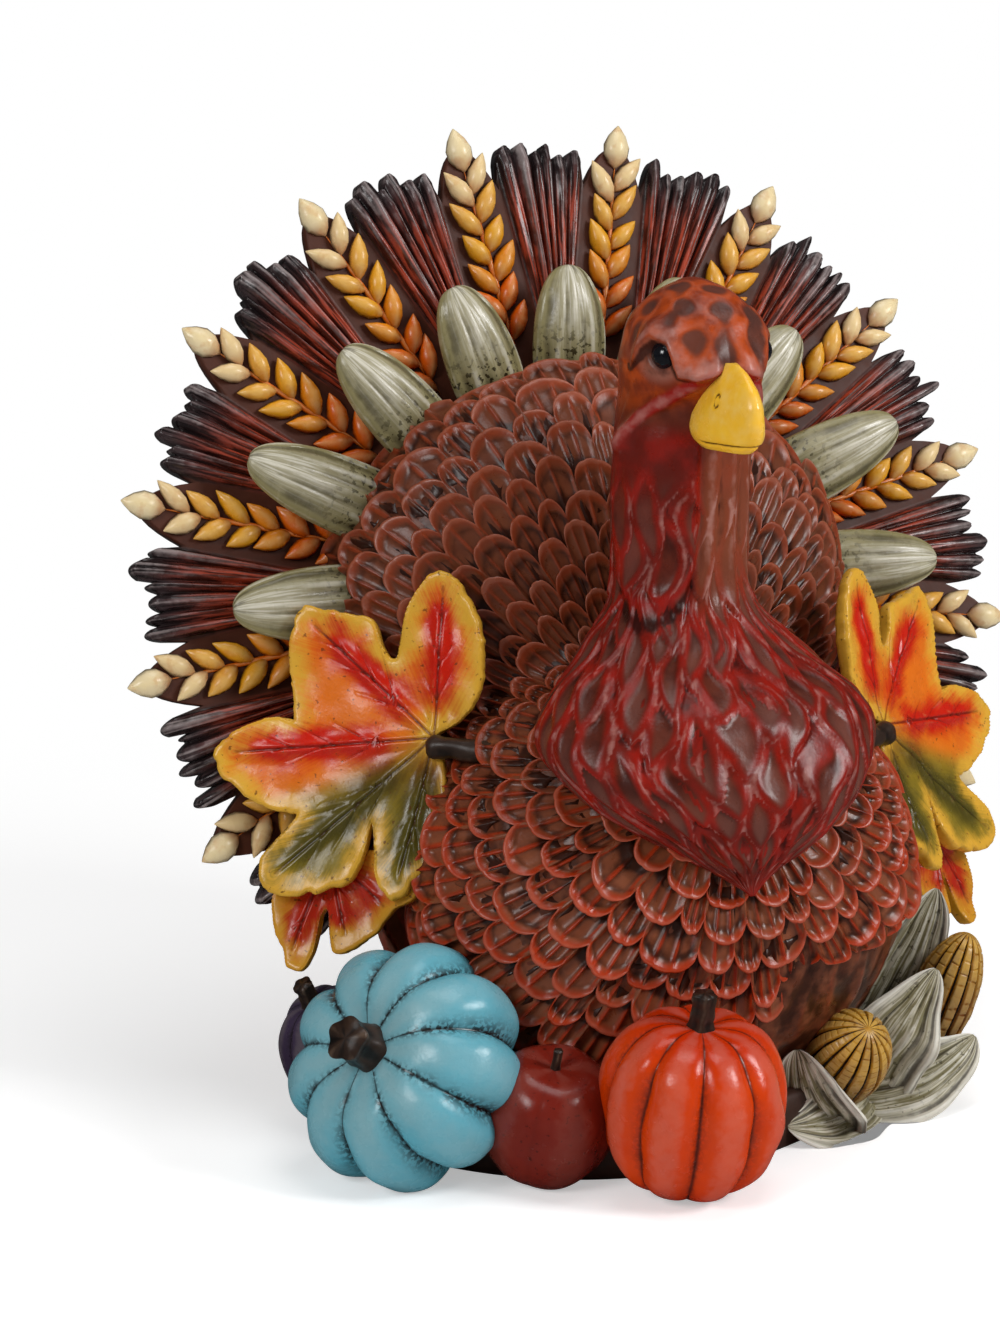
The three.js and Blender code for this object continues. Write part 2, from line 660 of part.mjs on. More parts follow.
/** Cupped plate inside a leaf's outline, swollen by grow. */
function leafPlate(form, joint, side, grow) {
  const { outward, upward, face } = leafFrame(side);
  const outline = form.outline.map((at) => new THREE.Vector2(...at));
  const hub = new THREE.Vector2(...form.hub);
  const longest = Math.max(...outline.map((p) => p.distanceTo(hub)));
  const place = (at, out) => joint.clone()
    .addScaledVector(outward, at.x)
    .addScaledVector(upward, at.y)
    .addScaledVector(face, out + LEAF_CUP * (at.distanceTo(hub) / longest) ** 2);
  const ring = (share, out) => outline.map((p) => {
    const swell = share === 1 ? grow / p.distanceTo(hub) : 0;
    return place(hub.clone().lerp(p, share + swell), out);
  });
  const half = LEAF_THICKNESS / 2 + grow;
  const loops = [ring(0.55, half), ring(1, half), ring(1, -half), ring(0.55, -half)];
  return solid(loft(place(hub, half), loops, place(hub, -half)));
}

/** Stalk across the front of the big leaf's joint, with its foot on the body. */
function leafStalk(joint, foot, side, grow) {
  const proud = (LEAF_THICKNESS + LEAF_STALK_RADIUS) / 2;
  const { outward, face } = leafFrame(side);
  const start = joint.clone().addScaledVector(face, proud).addScaledVector(outward, LEAF_STALK_LAP);
  const run = foot.clone().sub(start);
  const length = run.length();
  const thick = LEAF_STALK_RADIUS + grow;
  const thin = LEAF_STALK_RADIUS * LEAF_STALK_TAPER + grow;
  const bar = new THREE.CylinderGeometry(thick, thin, length + 2 * grow, 10);
  bar.rotateX(Math.PI / 2).translate(0, 0, length / 2);
  return solid(lay(bar, start, run));
}

// Fruit: ribbed squashes and an apple, each flat underneath

/** Middle of a fruit that stands on the floor, sunk by its worn flat. */
function fruitCentre({ place, lean, radius, halfHeight }) {
  const axis = unit(lean);
  const reach = Math.hypot(radius * Math.hypot(axis.x, axis.y), halfHeight * axis.z);
  return vec(...place, reach - SQUASH_FLAT);
}

/** Squash round an axis, pinched along its grooves and dimpled at its ends. */
function squash(form, grow) {
  const { lean, radius, halfHeight, ribs, pointsPerRib, groove, dimple } = form;
  const columns = ribs * pointsPerRib;
  const rows = 6;
  const loops = count(rows - 1, (r) => {
    const [rise, round] = turned(1, lerp(-90, 90, (r + 1) / rows));
    const dip = dimple * Math.exp(-((round / 0.4) ** 2)) * Math.sign(rise);
    return count(columns, (c) => {
      const turn = (360 * c) / columns;
      const crest = Math.abs(Math.sin(degToRad((turn * ribs) / 2)));
      const across = (radius * (1 - groove * (1 - crest) ** 1.5) + grow) * round ** 0.85;
      return vec(...turned(across, turn), (rise - dip) * halfHeight + Math.sign(rise) * grow);
    });
  });
  const end = (1 - dimple) * halfHeight + grow;
  const skin = loft(vec(0, 0, -end), loops, vec(0, 0, end));
  const whole = solid(lay(skin, fruitCentre(form), unit(lean)));
  return grow ? whole : whole.subtract(below(0));
}

/** Stem with a flared foot, set into the top of a fruit. */
function stem(form, grow) {
  const { lean, halfHeight, dimple, stemLength, stemRadius } = form;
  const profile = [[0, 0], [1.5, 0], [1, 0.35], [0.85, 0.75], [0.95, 1], [0, 1]];
  const points = profile.map(([wide, t]) => {
    const across = wide && wide * stemRadius + grow;
    return new THREE.Vector2(across, lerp(-grow, stemLength + grow, t));
  });
  const sunk = (1 - dimple) * halfHeight - STEM_SEAT * stemLength;
  const foot = fruitCentre(form).addScaledVector(unit(lean), sunk);
  const skin = new THREE.LatheGeometry(points, 10).rotateX(Math.PI / 2);
  return solid(lay(skin, foot, unit(lean)));
}

// Corn: cobs with rows of kernels, and the husks they stand in

function cob({ tip, lean, radius, length }, grow) {
  const columns = KERNEL_ROWS * 2;
  const profile = [[0, 0.8], [0.45, 1], [0.7, 0.97], [0.86, 0.8], [0.96, 0.48]];
  const loops = profile.map(([t, wide]) => count(columns, (c) => {
    const row = c % 2 ? 1 : 1 - KERNEL_GROOVE;
    const across = turned(radius * wide * row + grow, (360 * c) / columns);
    return vec(...across, t * length - (t ? 0 : grow));
  }));
  const skin = loft(vec(0, 0, -grow), loops, vec(0, 0, length + grow));
  const foot = vec(...tip).addScaledVector(unit(lean), -length);
  const whole = solid(lay(skin, foot, unit(lean)));
  return grow ? whole : whole.subtract(below(0));
}

function husk({ curve, face, halfWidth }, grow) {
  const form = {
    curve: new THREE.QuadraticBezierCurve3(...curve.map((point) => vec(...point))),
    face: unit(face),
    halfWidth,
    halfThickness: HUSK_HALF_THICKNESS,
    cup: HUSK_CUP,
    blunt: HUSK_BLUNTNESS,
  };
  const whole = blade(form, grow);
  return grow ? whole : whole.subtract(below(0));
}

// Base: a low plinth inside the ring of fruit

function base(grow) {
  const points = [
    [0, -BASE_FRONT],
    [-0.6 * BASE_LEFT, -0.85 * BASE_FRONT],
    [-BASE_LEFT, 0],
    [-0.86 * BASE_LEFT, 0.55 * BASE_BACK],
    [0, BASE_BACK],
    [0.86 * BASE_RIGHT, 0.6 * BASE_BACK],
    [BASE_RIGHT, 0.1 * BASE_BACK],
    [0.72 * BASE_RIGHT, -0.42 * BASE_FRONT],
  ];
  const curve = new THREE.CatmullRomCurve3(points.map(([x, y]) => vec(x, y, 0)), true);
  const outline = curve.getPoints(BASE_FACETS).slice(1).map((p) => new THREE.Vector2(p.x, p.y));
  const options = {
    depth: BASE_HEIGHT - BASE_BEVEL + grow,
    bevelThickness: BASE_BEVEL,
    bevelSize: BASE_BEVEL,
    bevelOffset: grow,
    bevelSegments: 1,
  };
  const block = solid(new THREE.ExtrudeGeometry(new THREE.Shape(outline), options));
  return grow ? block : block.subtract(below(0));
}

// Assembly, from the pieces that keep their whole shape to those that give way

const bird = subgroup('bird');
const harvest = subgroup('harvest');
const foliage = subgroup('foliage');
const tail = subgroup('tail');

const SIDES = Object.entries(LEAF_SIDES);
for (const [word, { side }] of SIDES) {
  add(bird, `eye_${word}`, '#0b0a0a', 0.15, (grow) => eye(side, grow));
}
add(bird, 'beak', '#d9a520', 0.35, beak);
add(bird, 'head_and_neck', '#8c1f1a', 0.4, headAndNeck);
add(bird, 'base_plinth', '#3a2419', 0.6, base);

const FRUIT = [
  ['blue_pumpkin', '#4fb3c4', BLUE_PUMPKIN],
  ['orange_pumpkin', '#d9431c', ORANGE_PUMPKIN],
  ['purple_gourd', '#3b2340', PURPLE_GOURD],
  ['apple', '#6e1d1c', APPLE],
];
for (const [name, , form] of FRUIT) {
  add(harvest, `${name}_stem`, '#2a1c16', 0.5, (grow) => stem(form, grow));
}
for (const [name, colour, form] of FRUIT) {
  add(harvest, name, colour, 0.35, (grow) => squash(form, grow));
}

add(harvest, 'corn_cob_front', '#b5832f', 0.45, (grow) => cob(FRONT_COB, grow));
add(harvest, 'corn_cob_back', '#a06a2c', 0.45, (grow) => cob(BACK_COB, grow));
for (const [name, form] of Object.entries(HUSKS)) {
  add(harvest, name, '#8b8f74', 0.55, (grow) => husk(form, grow));
}

for (const [word, { side, joint, stalkFoot, smallJoint }] of SIDES) {
  const onSide = ([angle, turn], lift) => onBody(angle, side * turn, lift);
  const middle = onSide(joint, LEAF_STANDOFF);
  const foot = onSide(stalkFoot, -LEAF_STALK_SEAT);
  const lower = onSide(smallJoint, LEAF_THICKNESS / 2);
  add(foliage, `leaf_stalk_${word}`, '#2e2620', 0.5, (grow) => leafStalk(middle, foot, side, grow));
  add(foliage, `maple_leaf_${word}`, '#d98a2b', 0.4, (grow) => leafPlate(BIG_LEAF, middle, side, grow));
  add(foliage, `small_leaf_${word}`, '#d8742a', 0.4, (grow) => leafPlate(SMALL_LEAF, lower, side, grow));
}

add(bird, 'body', '#7a3420', 0.45, body);

for (let i = 0; i < PETAL_COUNT; i += 1) {
  const place = i - (PETAL_COUNT - 1) / 2;
  add(tail, `husk_petal_${i + 1}`, '#7f8560', 0.5, (grow) => petal(place, grow));
}
for (let i = 0; i < FEATHER_COUNT - 1; i += 1) {
  const angle = (i + 0.5 - LAST_FEATHER) * FEATHER_ANGLE;
  add(tail, `wheat_ear_${i + 1}`, '#d69a3a', 0.45, () => wheatEar(angle), { keepsRoom: false });
}

add(tail, 'tail_fan', '#4a231c', 0.45, fanPlate, { keepsRoom: false });
add(bird, 'rump', '#5a2c1e', 0.5, rump);

export default figure;
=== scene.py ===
import itertools
from collections import namedtuple

import bpy
import numpy as np
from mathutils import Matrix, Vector


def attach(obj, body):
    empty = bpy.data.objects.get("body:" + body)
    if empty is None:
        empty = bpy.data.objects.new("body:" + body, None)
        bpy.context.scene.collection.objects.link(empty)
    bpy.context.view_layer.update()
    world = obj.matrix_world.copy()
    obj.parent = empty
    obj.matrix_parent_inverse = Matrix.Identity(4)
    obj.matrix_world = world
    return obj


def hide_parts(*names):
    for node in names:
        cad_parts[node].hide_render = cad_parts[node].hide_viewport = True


# Harvest turkey figurine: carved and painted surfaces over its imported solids, in the same frame.
# Lengths are millimetres until a mesh is made, and angles are degrees. +Z is up, the bird faces -Y.

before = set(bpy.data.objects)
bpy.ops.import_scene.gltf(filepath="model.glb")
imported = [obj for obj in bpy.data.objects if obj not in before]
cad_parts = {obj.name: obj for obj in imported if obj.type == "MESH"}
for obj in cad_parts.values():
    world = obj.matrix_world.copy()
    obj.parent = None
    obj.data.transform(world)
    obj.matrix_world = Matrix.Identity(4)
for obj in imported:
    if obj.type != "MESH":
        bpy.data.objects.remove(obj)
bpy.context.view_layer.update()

MM = 0.001
SEED = 11
NOISE_CELLS = 32

# Driving dimensions: body and its scale feathers
MANTLE_CENTRE = np.array([0.0, 50.0, 104.0])
MANTLE_RADII = np.array([63.0, 34.0, 58.0])
BELLY_CENTRE = np.array([0.0, 6.0, 52.0])
BELLY_RADII = np.array([57.0, 43.0, 52.0])
LOBE_BLEND = 4
HEART = (MANTLE_CENTRE + BELLY_CENTRE) / 2
POLE = np.array([0.0, -0.988, 0.152])
POLE_UP = np.array([0.0, 0.152, 0.988])
BODY_FLOOR = 5.0
BODY_RADIUS = 73
FAN_GAP = 0.4
GLUE_GAP = 0.3
STROKE_HEIGHT = 0.7
MANTLE_TONE = (62, 112)  # heights between which the scales turn browner
SCALE_WIDTH = 9.8
SCALE_RINGS = 19
SCALE_GROUPS = {"inner": (0, 8), "middle": (8, 14), "outer": (14, SCALE_RINGS)}  # rings of each piece
FIRST_RING = 20  # distance from the middle of the bib along the body
RING_PITCH = 7.2
RING_BEND = 64  # distance in which a ring opens by one radian
TABLE_TURN = 3.0  # degrees between the columns of the table of rings
SCALLOP = 5.2
SCALE_LIFT = 2.8
SCALE_LENGTH = 10.5
SCALE_THICKNESS = 1.7
SCALE_COLUMNS = 21
CELL_DEPTH = 1.25
CELL_LOBE = 0.3
RIM_HEIGHT = 0.35
EDGE_JITTER = 0.8
CELL_COUNTS = (2, 3, 3)
# Rows of a scale: shares of its length from root to free edge, then back below with their drops
SCALE_ROWS = np.array([1, 0.84, 0.69, 0.55, 0.43, 0.33, 0.25, 0.19, 0.14, 0.1, 0.06, 0.02])
UNDER_ROWS = np.array([0, 0.05, 0.35, 1])
UNDER_DROPS = np.array([0.5, 1, 1.1, 0.5])
# Flank behind the corn, where scales sink into the breast: limits sideways and downwards
BARE_FROM = (4, 18)
BARE_BELOW = (46, 39)
HIDDEN_DEPTH = 2.5
RUMP_RADII = np.array([56.0, 44.0, 54.0])
RUMP_HEIGHT = 52
LOZENGES = 18
LOZENGE_HEIGHT = 0.9

# Head, neck and bib
BIB_TIP = (41, 61)  # distance to the front, and height
BIB_MIDDLE = (17, 93)
BIB_RADII = (38.5, 25)
BIB_ROUNDNESS = 1.2
NECK_RADIUS = 14.8
NECK_FOOT = 123
NECK_TOP = (1, 146)
HEAD_MIDDLE = (7, 171)
HEAD_RADII = np.array([15.5, 18.0, 17.0])
FACE_ARC = 0.29  # length on the face for one degree of turn
BIB_FACETS = 20
BIB_FACET_LENGTH = 21
NECK_FACETS = 13
NECK_FACET_LENGTH = 21
COLLAR = 128  # height of the neck's lowest feathers
FACET_DEPTH = 1.7
LENS_SIZE = (0.7, 0.9)  # half width and half length of a feather, as shares of the lattice
FACE_SIZE = (0.46, 0.5)
FACE_DROP = 0.42
BIB_LUMPS = 1.3
HEAD_COLUMNS = 330
PROFILE_REACH = 9  # rows on each side over which the profile is softened
# Heights between which one form or finish gives way to another
FEATHER_END = (164, 152)
SMOOTH_CHEEK = (140, 154)
FULL_CARVING = (135, 105)
LUMPS_END = (128, 112)
RED_NECK = (112, 130)
RED_FOLD = (150, 158)
BARE_SKIN = (156, 168)
WATTLE_TOP = (166, 154)
THROAT_FOOT = (112, 132)
THROAT_TOP = (160, 155)
# Brow, eyelid and cheek fold, the wattle beside the throat, and the throat's cords
BROW_HEIGHT = 2.4
FAR_BROW = 0.45  # share of that height on the far side
FOLD_HEIGHT = 1.5
FOLD_WIDTH = 1.9
LID_HEIGHT = 0.6
LID_RADIUS = 3.5
SOCKET_DEPTH = 1.5
SOCKET_WIDTH = 4.6
WATTLE_ANGLE = -48
WATTLE_HALF_ANGLE = 37
WATTLE_FOOT = 133
WATTLE_DROP = 16
WATTLE_HEIGHT = 2.5
THROAT_LEFT = (-14, -5)  # turns between which its sides fade
THROAT_RIGHT = (80, 60)
THROAT_CORDS = 15
CORD_HEIGHT = 0.4
# Lines on the face: length round it from the middle, and height
BROW_LINE = [
    (2.5, 171.3), (7, 170), (10.5, 170), (12, 173), (13.6, 176), (17.4, 177), (20.5, 175), (24, 171),
]
CHEEK_FOLD = [(3, 170.2), (6.2, 168.5), (9.7, 166.6), (14.8, 163.1), (18, 160.1), (22, 154)]
# Spots on the crown: turn from the front, and height
CROWN_SPOTS = np.array([
    (-84, 182.7), (-39, 183.1), (-49, 180.3), (-25.5, 177), (4, 182.7), (-4, 175.5), (-65.5, 186.6),
    (-83, 178), (40, 181), (62, 184), (30, 176.5), (85, 180), (18, 186.6), (112, 183), (-118, 181),
    (150, 182), (-152, 184), (180, 178),
])
EYE_ANGLE = 53
EYE_RISE = 2.5
EYE_RADIUS = 3.2
EYE_SINK = 2.3
BEAK_ROOT = 24  # middle of its ovals, in front of the origin
BEAK_HEIGHTS = [154.5, 155.4, 156.9, 158.3, 160.6, 164.4, 167.7, 170, 171.5, 172.3]
BEAK_HALF_WIDTHS = [4.3, 5.8, 6.5, 6.7, 6.2, 5.0, 3.8, 2.8, 1.9, 0.9]
BEAK_REACHES = [9.5, 11.5, 13.2, 14.2, 15.0, 14.8, 13.0, 10.2, 7.6, 5.0]
BEAK_KEEL = 1.3  # a higher power makes a sharper bridge
MOUTH_RISE = 1.4
NOSTRIL_ANGLE = 66
NOSTRIL_HEIGHT = 165
NOSTRIL_RADIUS = 0.95

# Tail fan, wheat and petals
FAN_HUB = np.array([0.0, 54.0, 110.0])
FAN_ANGLE = 16.2
FAN_UP = np.array([0.0, np.sin(np.radians(FAN_ANGLE)), np.cos(np.radians(FAN_ANGLE))])
FAN_OUT = np.array([0.0, -FAN_UP[2], FAN_UP[1]])
FAN_THICKNESS = 7
FEATHER_COUNT = 13
FEATHER_ANGLE = 21.65
FEATHER_REACH = 106
FEATHER_ROUND = 3.0
FEATHER_EDGE = 4
FEATHER_JAG = 2.6
STRANDS = 6
STRAND_ROUND = 2.6
FLUTE_HEIGHT = 3.6
FLUTE_START = 58
PANEL_HALF_WIDTH = 8.5
PANEL_REACH = 107
PANEL_ROUND = 15
TANG_HALF_WIDTH = 44
BACK_ROWS = 10
GRAIN_PAIRS = 6
GRAIN_LENGTH = 10.7
GRAIN_HALF_WIDTH = 2.45
GRAIN_HEIGHT = 2.7
GRAIN_ANGLE = 33
GRAIN_ROWS = np.array([0.01, 0.12, 0.3, 0.52, 0.74, 0.92, 0.99])  # shares of a grain's length
GRAIN_SEAT = 0.2
GRAIN_LIFT = 0.9
TIP_GRAIN_LIFT = 0.4
EAR_STALK_LAPS = (3, 2)  # beyond the ear's root, and below its tip grain
EAR_STALK_HALF_WIDTH = 0.8
EAR_STALK_HEIGHT = 0.9
EAR_ROOT = 59
EAR_REACH = 112
TIP_GRAIN_LENGTH = 10.6
TIP_GRAIN_HALF_WIDTH = 3.4
PETAL_COUNT = 9
PETAL_ANGLE = 22.4
PETAL_ROOT = 45
PETAL_REACH = 75
PETAL_SIDE_REACH = 13
PETAL_HALF_WIDTH = 8.9
PETAL_HALF_THICKNESS = 4.2
PETAL_LIFTS = (3.8, 11)
BLADE_START = 0.27  # share of half a sine wave at which a petal or husk starts
BLADE_RIB = 0.35
BLADE_ROUGH = 0.3

# Leaves and their stalks
LEAF_ANGLE = 36
LEAF_TILT = 17
LEAF_THICKNESS = 3
LEAF_CUP = 4
LEAF_WAVE = 0.7
LEAF_RIB_HEIGHT = 0.9
VEIN_DEPTH = 0.6
TWIG_DEPTH = 0.35
TWIG_WIDTH = 0.35
LOBE_FADE = 2.2  # distance in which a lobe's own colour fades into the next
HATCH_SLANT = 2.2
LEAF_STANDOFF = 4
STALK_RADIUS = 2.7
STALK_SEAT = 3.5
STALK_LAP = 5.5
# Forms of a leaf, outward and upward from its joint: margin, middle, start and ends of its veins, the
# number of twigs on each side of a vein, and the lobes that are green
BIG_LEAF = {
    "outline": [
        (4, 2), (-1, 6), (-4.6, 11), (-5.6, 18), (-4.9, 25.6), (-2.5, 31.4), (1.8, 36.3), (5.9, 38.3),
        (9.4, 35), (12.2, 29), (13.2, 23), (14.4, 18.8), (17.3, 21), (19.5, 26), (21.9, 27.7), (26.6, 27.8),
        (30.7, 28.6), (35.4, 29), (37.5, 25.9), (38.4, 19.8), (37.7, 12.7), (36.2, 4.2), (39.8, 4.4),
        (44.4, 3.4), (49, 0.6), (52.4, -2.6), (53, -5.4), (50.9, -9.4), (46.8, -12.7), (41.7, -15.1),
        (36.5, -16.3), (33.7, -16.6), (35.5, -19.5), (38.7, -23.9), (41.1, -27.6), (40.9, -31.4),
        (38.5, -33.7), (33.5, -34.5), (27.5, -33.2), (22.3, -31.7), (19.2, -28.5), (17.7, -24.2),
        (16.6, -17.5), (15.2, -24.6), (14.8, -28.2), (13.2, -31), (10.3, -33.4), (7.5, -32.1),
        (5.4, -28.7), (2.5, -25.9), (0.6, -20.7), (-0.2, -14.2), (0.6, -7.7), (2, -1.9),
    ],
    "hub": (17, 2),
    "veins": [(4, 2), (4, 35), (33, 25), (49, -4), (37, -30), (9, -29)],
    "twigs": 3,
    "green": (3, 4),
}
SMALL_LEAF = {
    "outline": [
        (-4, 2), (10, 3), (20, 3), (27, -1), (30.5, -8.2), (30.3, -12.8), (29.1, -16.8), (27.2, -20.3),
        (25.6, -23.7), (22.3, -24.1), (20.6, -21), (19.9, -16.7), (19.6, -12.5), (18.5, -10.5), (17.6, -12),
        (16.8, -16.5), (15.2, -20.2), (11.4, -18.7), (6.3, -14.5), (3.2, -10.2), (-3, -6),
    ],
    "hub": (19, -4),
    "veins": [(19, 2), (25, -20), (13, -16), (5, -9), (28, -8)],
    "twigs": 2,
    "green": (),
}
# Places of the leaves on the body: angle from the bib, and turn from the top
LEAF_SIDES = {
    "left": {"side": -1, "joint": (71, 84), "foot": (50, 84), "small": (79, 110)},
    "right": {"side": 1, "joint": (68, 91), "foot": (47, 90), "small": (76, 115)},
}

# Harvest: each fruit's place on the floor and lean, and its groove and dimple as shares of its size
Fruit = namedtuple("Fruit", "place lean radius half_height ribs groove dimple stem_length stem_radius")
FRUIT_FLAT = 0.8
FRUIT_LUMPS = 0.5
RIB_COLUMNS = 26
STEM_SEAT = 0.3
STEM_RIBS = 5
FRUIT = {
    "blue_pumpkin": Fruit((-68.5, -15), (-0.73, -0.46, 0.51), 26.8, 18.8, 9, 0.16, 0.2, 12, 4.6),
    "orange_pumpkin": Fruit((-16, -46.5), (0.03, -0.16, 1), 20.2, 20.8, 9, 0.12, 0.14, 11, 2.6),
    "purple_gourd": Fruit((-72, 20), (-0.45, -0.25, 0.86), 12.5, 17.5, 7, 0.13, 0.05, 9, 2.2),
    "apple": Fruit((-42, -30), (0.02, -0.3, 0.95), 14.5, 15.5, 5, 0.03, 0.2, 7, 1),
}
COB_DOME = 0.45  # share of a cob's length that is rounded off
KERNEL_DEPTH = 0.8
# Cobs: tip, lean, radius, length, kernel rows, kernel pitch
COBS = {
    "corn_cob_front": ((32, -33.5, 26), (0.046, -0.7, 0.713), 9.7, 30, 16, 1.3),
    "corn_cob_back": ((67.5, -13.8, 38), (0.29, -0.16, 0.97), 7.3, 34, 14, 2.8),
}
# Husks: root, bend and point, the way each faces, half width
HUSKS = {
    "corn_husk_left": (((30, -19, 3), (20, -30, 5), (18, -27, 21)), (-0.7, -0.7, 0.2), 11),
    "corn_husk_low": (((44, -12, 4), (30, -30, 2), (14, -31, 5)), (0.2, -0.8, 0.5), 9.5),
    "corn_husk_middle": (((42, -10, 5), (44, -22, 16), (56, -20, 33)), (-0.3, -0.9, 0.3), 10),
    "corn_husk_right": (((38, -14, 3), (52, -24, 4), (67, -19, 15.5)), (0.1, -0.8, 0.6), 8.5),
    "corn_husk_back": (((50, 0, 14), (57, -6, 30), (61, -10, 48.5)), (-0.2, -0.9, 0.3), 8.5),
}
HUSK_HALF_THICKNESS = 1.5
BASE_HEIGHT = 12
BASE_FRONT, BASE_BACK, BASE_LEFT, BASE_RIGHT = 36, 72, 70, 58


# Small tools


def turned(radius, angle):
    """Sideways and straight parts of a radius: the radius times sine and cosine of the angle."""
    return radius * np.sin(np.radians(angle)), radius * np.cos(np.radians(angle))


def mix(a, b, t):
    """Straight blend: a plus (b - a) times t."""
    return a + (b - a) * t


def unit(vector):
    """Vector divided by its own length."""
    vector = np.asarray(vector, float)
    return vector / np.maximum(np.linalg.norm(vector, axis=-1, keepdims=True), 1e-9)


def ease(x, low, high):
    """Smooth step 3t^2 - 2t^3, with t the share of the way from low to high, from 0 to 1."""
    t = np.clip((x - low) / (high - low), 0, 1)
    return t * t * (3 - 2 * t)


def hump(x, width):
    """Bell round zero: e to the power -(x / width)^2."""
    return np.exp(-((x / width) ** 2))


def grid(x, y, z):
    """Grid of points from three coordinates, each spread over the whole grid."""
    return np.stack(np.broadcast_arrays(x, y, z), axis=-1).astype(float)


def steps(count):
    """Turns of evenly spaced columns, a full circle without its end."""
    return np.arange(count) * 360 / count


def noise(at, size, seed):
    """Smooth random field from -1 to 1: seeded values at cube corners, eased between them."""
    table = np.random.default_rng(seed).random((NOISE_CELLS,) * 3)
    cell = np.floor(at / size).astype(int)
    part = at / size - cell
    part = part * part * (3 - 2 * part)
    total = 0
    for corner in np.ndindex(2, 2, 2):
        weight = np.prod(np.where(corner, part, 1 - part), axis=-1)
        total = total + weight * table[tuple(np.moveaxis((cell + corner) % NOISE_CELLS, -1, 0))]
    return 2 * total - 1


def away(u, v, path):
    """Distance from each point of a plane to a broken line, the least over its legs."""
    best = np.full(np.broadcast(u, v).shape, np.inf)
    for (au, av), (bu, bv) in zip(path, path[1:]):
        du, dv = bu - au, bv - av
        t = np.clip(((u - au) * du + (v - av) * dv) / (du * du + dv * dv), 0, 1)
        best = np.minimum(best, np.hypot(u - au - t * du, v - av - t * dv))
    return best


def above(loops, level):
    """Loops with nothing below a level."""
    kept = loops.copy()
    kept[..., 2] = np.maximum(kept[..., 2], level)
    return kept


def latitudes(end, count):
    """Height and radius of a unit ball's latitudes from -end to end: sine and cosine."""
    return turned(1.0, np.linspace(-end, end, count)[:, None])


def softened(row, reach, width):
    """Row of values averaged with its neighbours, weighted by a bell."""
    weight = hump(np.arange(-reach, reach + 1), width)
    return np.convolve(np.pad(row, reach, mode="edge"), weight / np.sum(weight), mode="valid")


def swell(loops, height):
    """Loops moved along their normals: the cross product of the steps along rows and columns."""
    along = np.gradient(loops, axis=0)
    around = np.roll(loops, -1, axis=1) - np.roll(loops, 1, axis=1)
    normal = unit(np.cross(along, around))
    outward = np.sign(np.sum(normal * (loops - loops.mean(axis=(0, 1)))))
    return loops + normal * (outward * height)[..., None]


def laid(loops, place, lean):
    """Loops modelled along +Z, turned so that +Z runs along the lean, and moved to a place."""
    axis = unit(lean)
    turn = Vector((0, 0, 1)).rotation_difference(Vector(axis)).to_matrix()
    return loops @ np.array(turn).T + np.asarray(place, float)


def closed_curve(knots, count):
    """Smooth closed line through knots: cubic pieces whose slope at a knot joins its neighbours."""
    t = np.linspace(0, 1, count, endpoint=False)[:, None, None]
    a, b, c, d = (np.roll(knots, shift, axis=0) for shift in (1, 0, -1, -2))
    curve = b + (c - a) / 2 * t + (2 * a - 5 * b + 4 * c - d) / 2 * t ** 2
    curve = curve + (3 * b - a - 3 * c + d) / 2 * t ** 3
    return curve.transpose(1, 0, 2).reshape(-1, 2)


# Meshes


def shell(loops, layers, ring):
    """Closed skin: each point joined to the next in its row and column, columns closing round.

    A single point closes each end, unless the rows close round as well.
    """
    rows, columns = loops.shape[:2]
    index = np.arange(rows * columns).reshape(rows, columns)
    at = loops.reshape(-1, 3)
    values = {word: np.broadcast_to(v, (rows, columns)) for word, v in layers.items()}
    flat = {word: v.reshape(-1) for word, v in values.items()}
    if ring:
        index = np.vstack([index, index[:1]])
    side = np.roll(index, -1, axis=1)
    quads = np.stack([index[:-1], side[:-1], side[1:], index[1:]], axis=-1).reshape(-1, 4)
    fans = np.zeros((0, 3), int)
    if not ring:
        at = np.vstack([at, loops[[0, -1]].mean(axis=1)])
        flat = {w: np.append(flat[w], values[w][[0, -1]].mean(axis=1)) for w in flat}
        start = np.full(columns, rows * columns)
        first = np.stack([start, side[0], index[0]], axis=-1)
        last = np.stack([start + 1, index[-1], side[-1]], axis=-1)
        fans = np.vstack([first, last])
    a, b, c, d = (at[quads[:, i]] for i in range(4))
    p, q, r = (at[fans[:, i]] for i in range(3))
    volume = np.sum(a * (np.cross(b, c) + np.cross(c, d))) + np.sum(p * np.cross(q, r))
    if volume < 0:
        quads, fans = quads[:, ::-1], fans[:, ::-1]
    return at, quads, fans, flat


def placed(name, data):
    """New object in the scene."""
    thing = bpy.data.objects.new(name, data)
    bpy.context.scene.collection.objects.link(thing)
    return thing


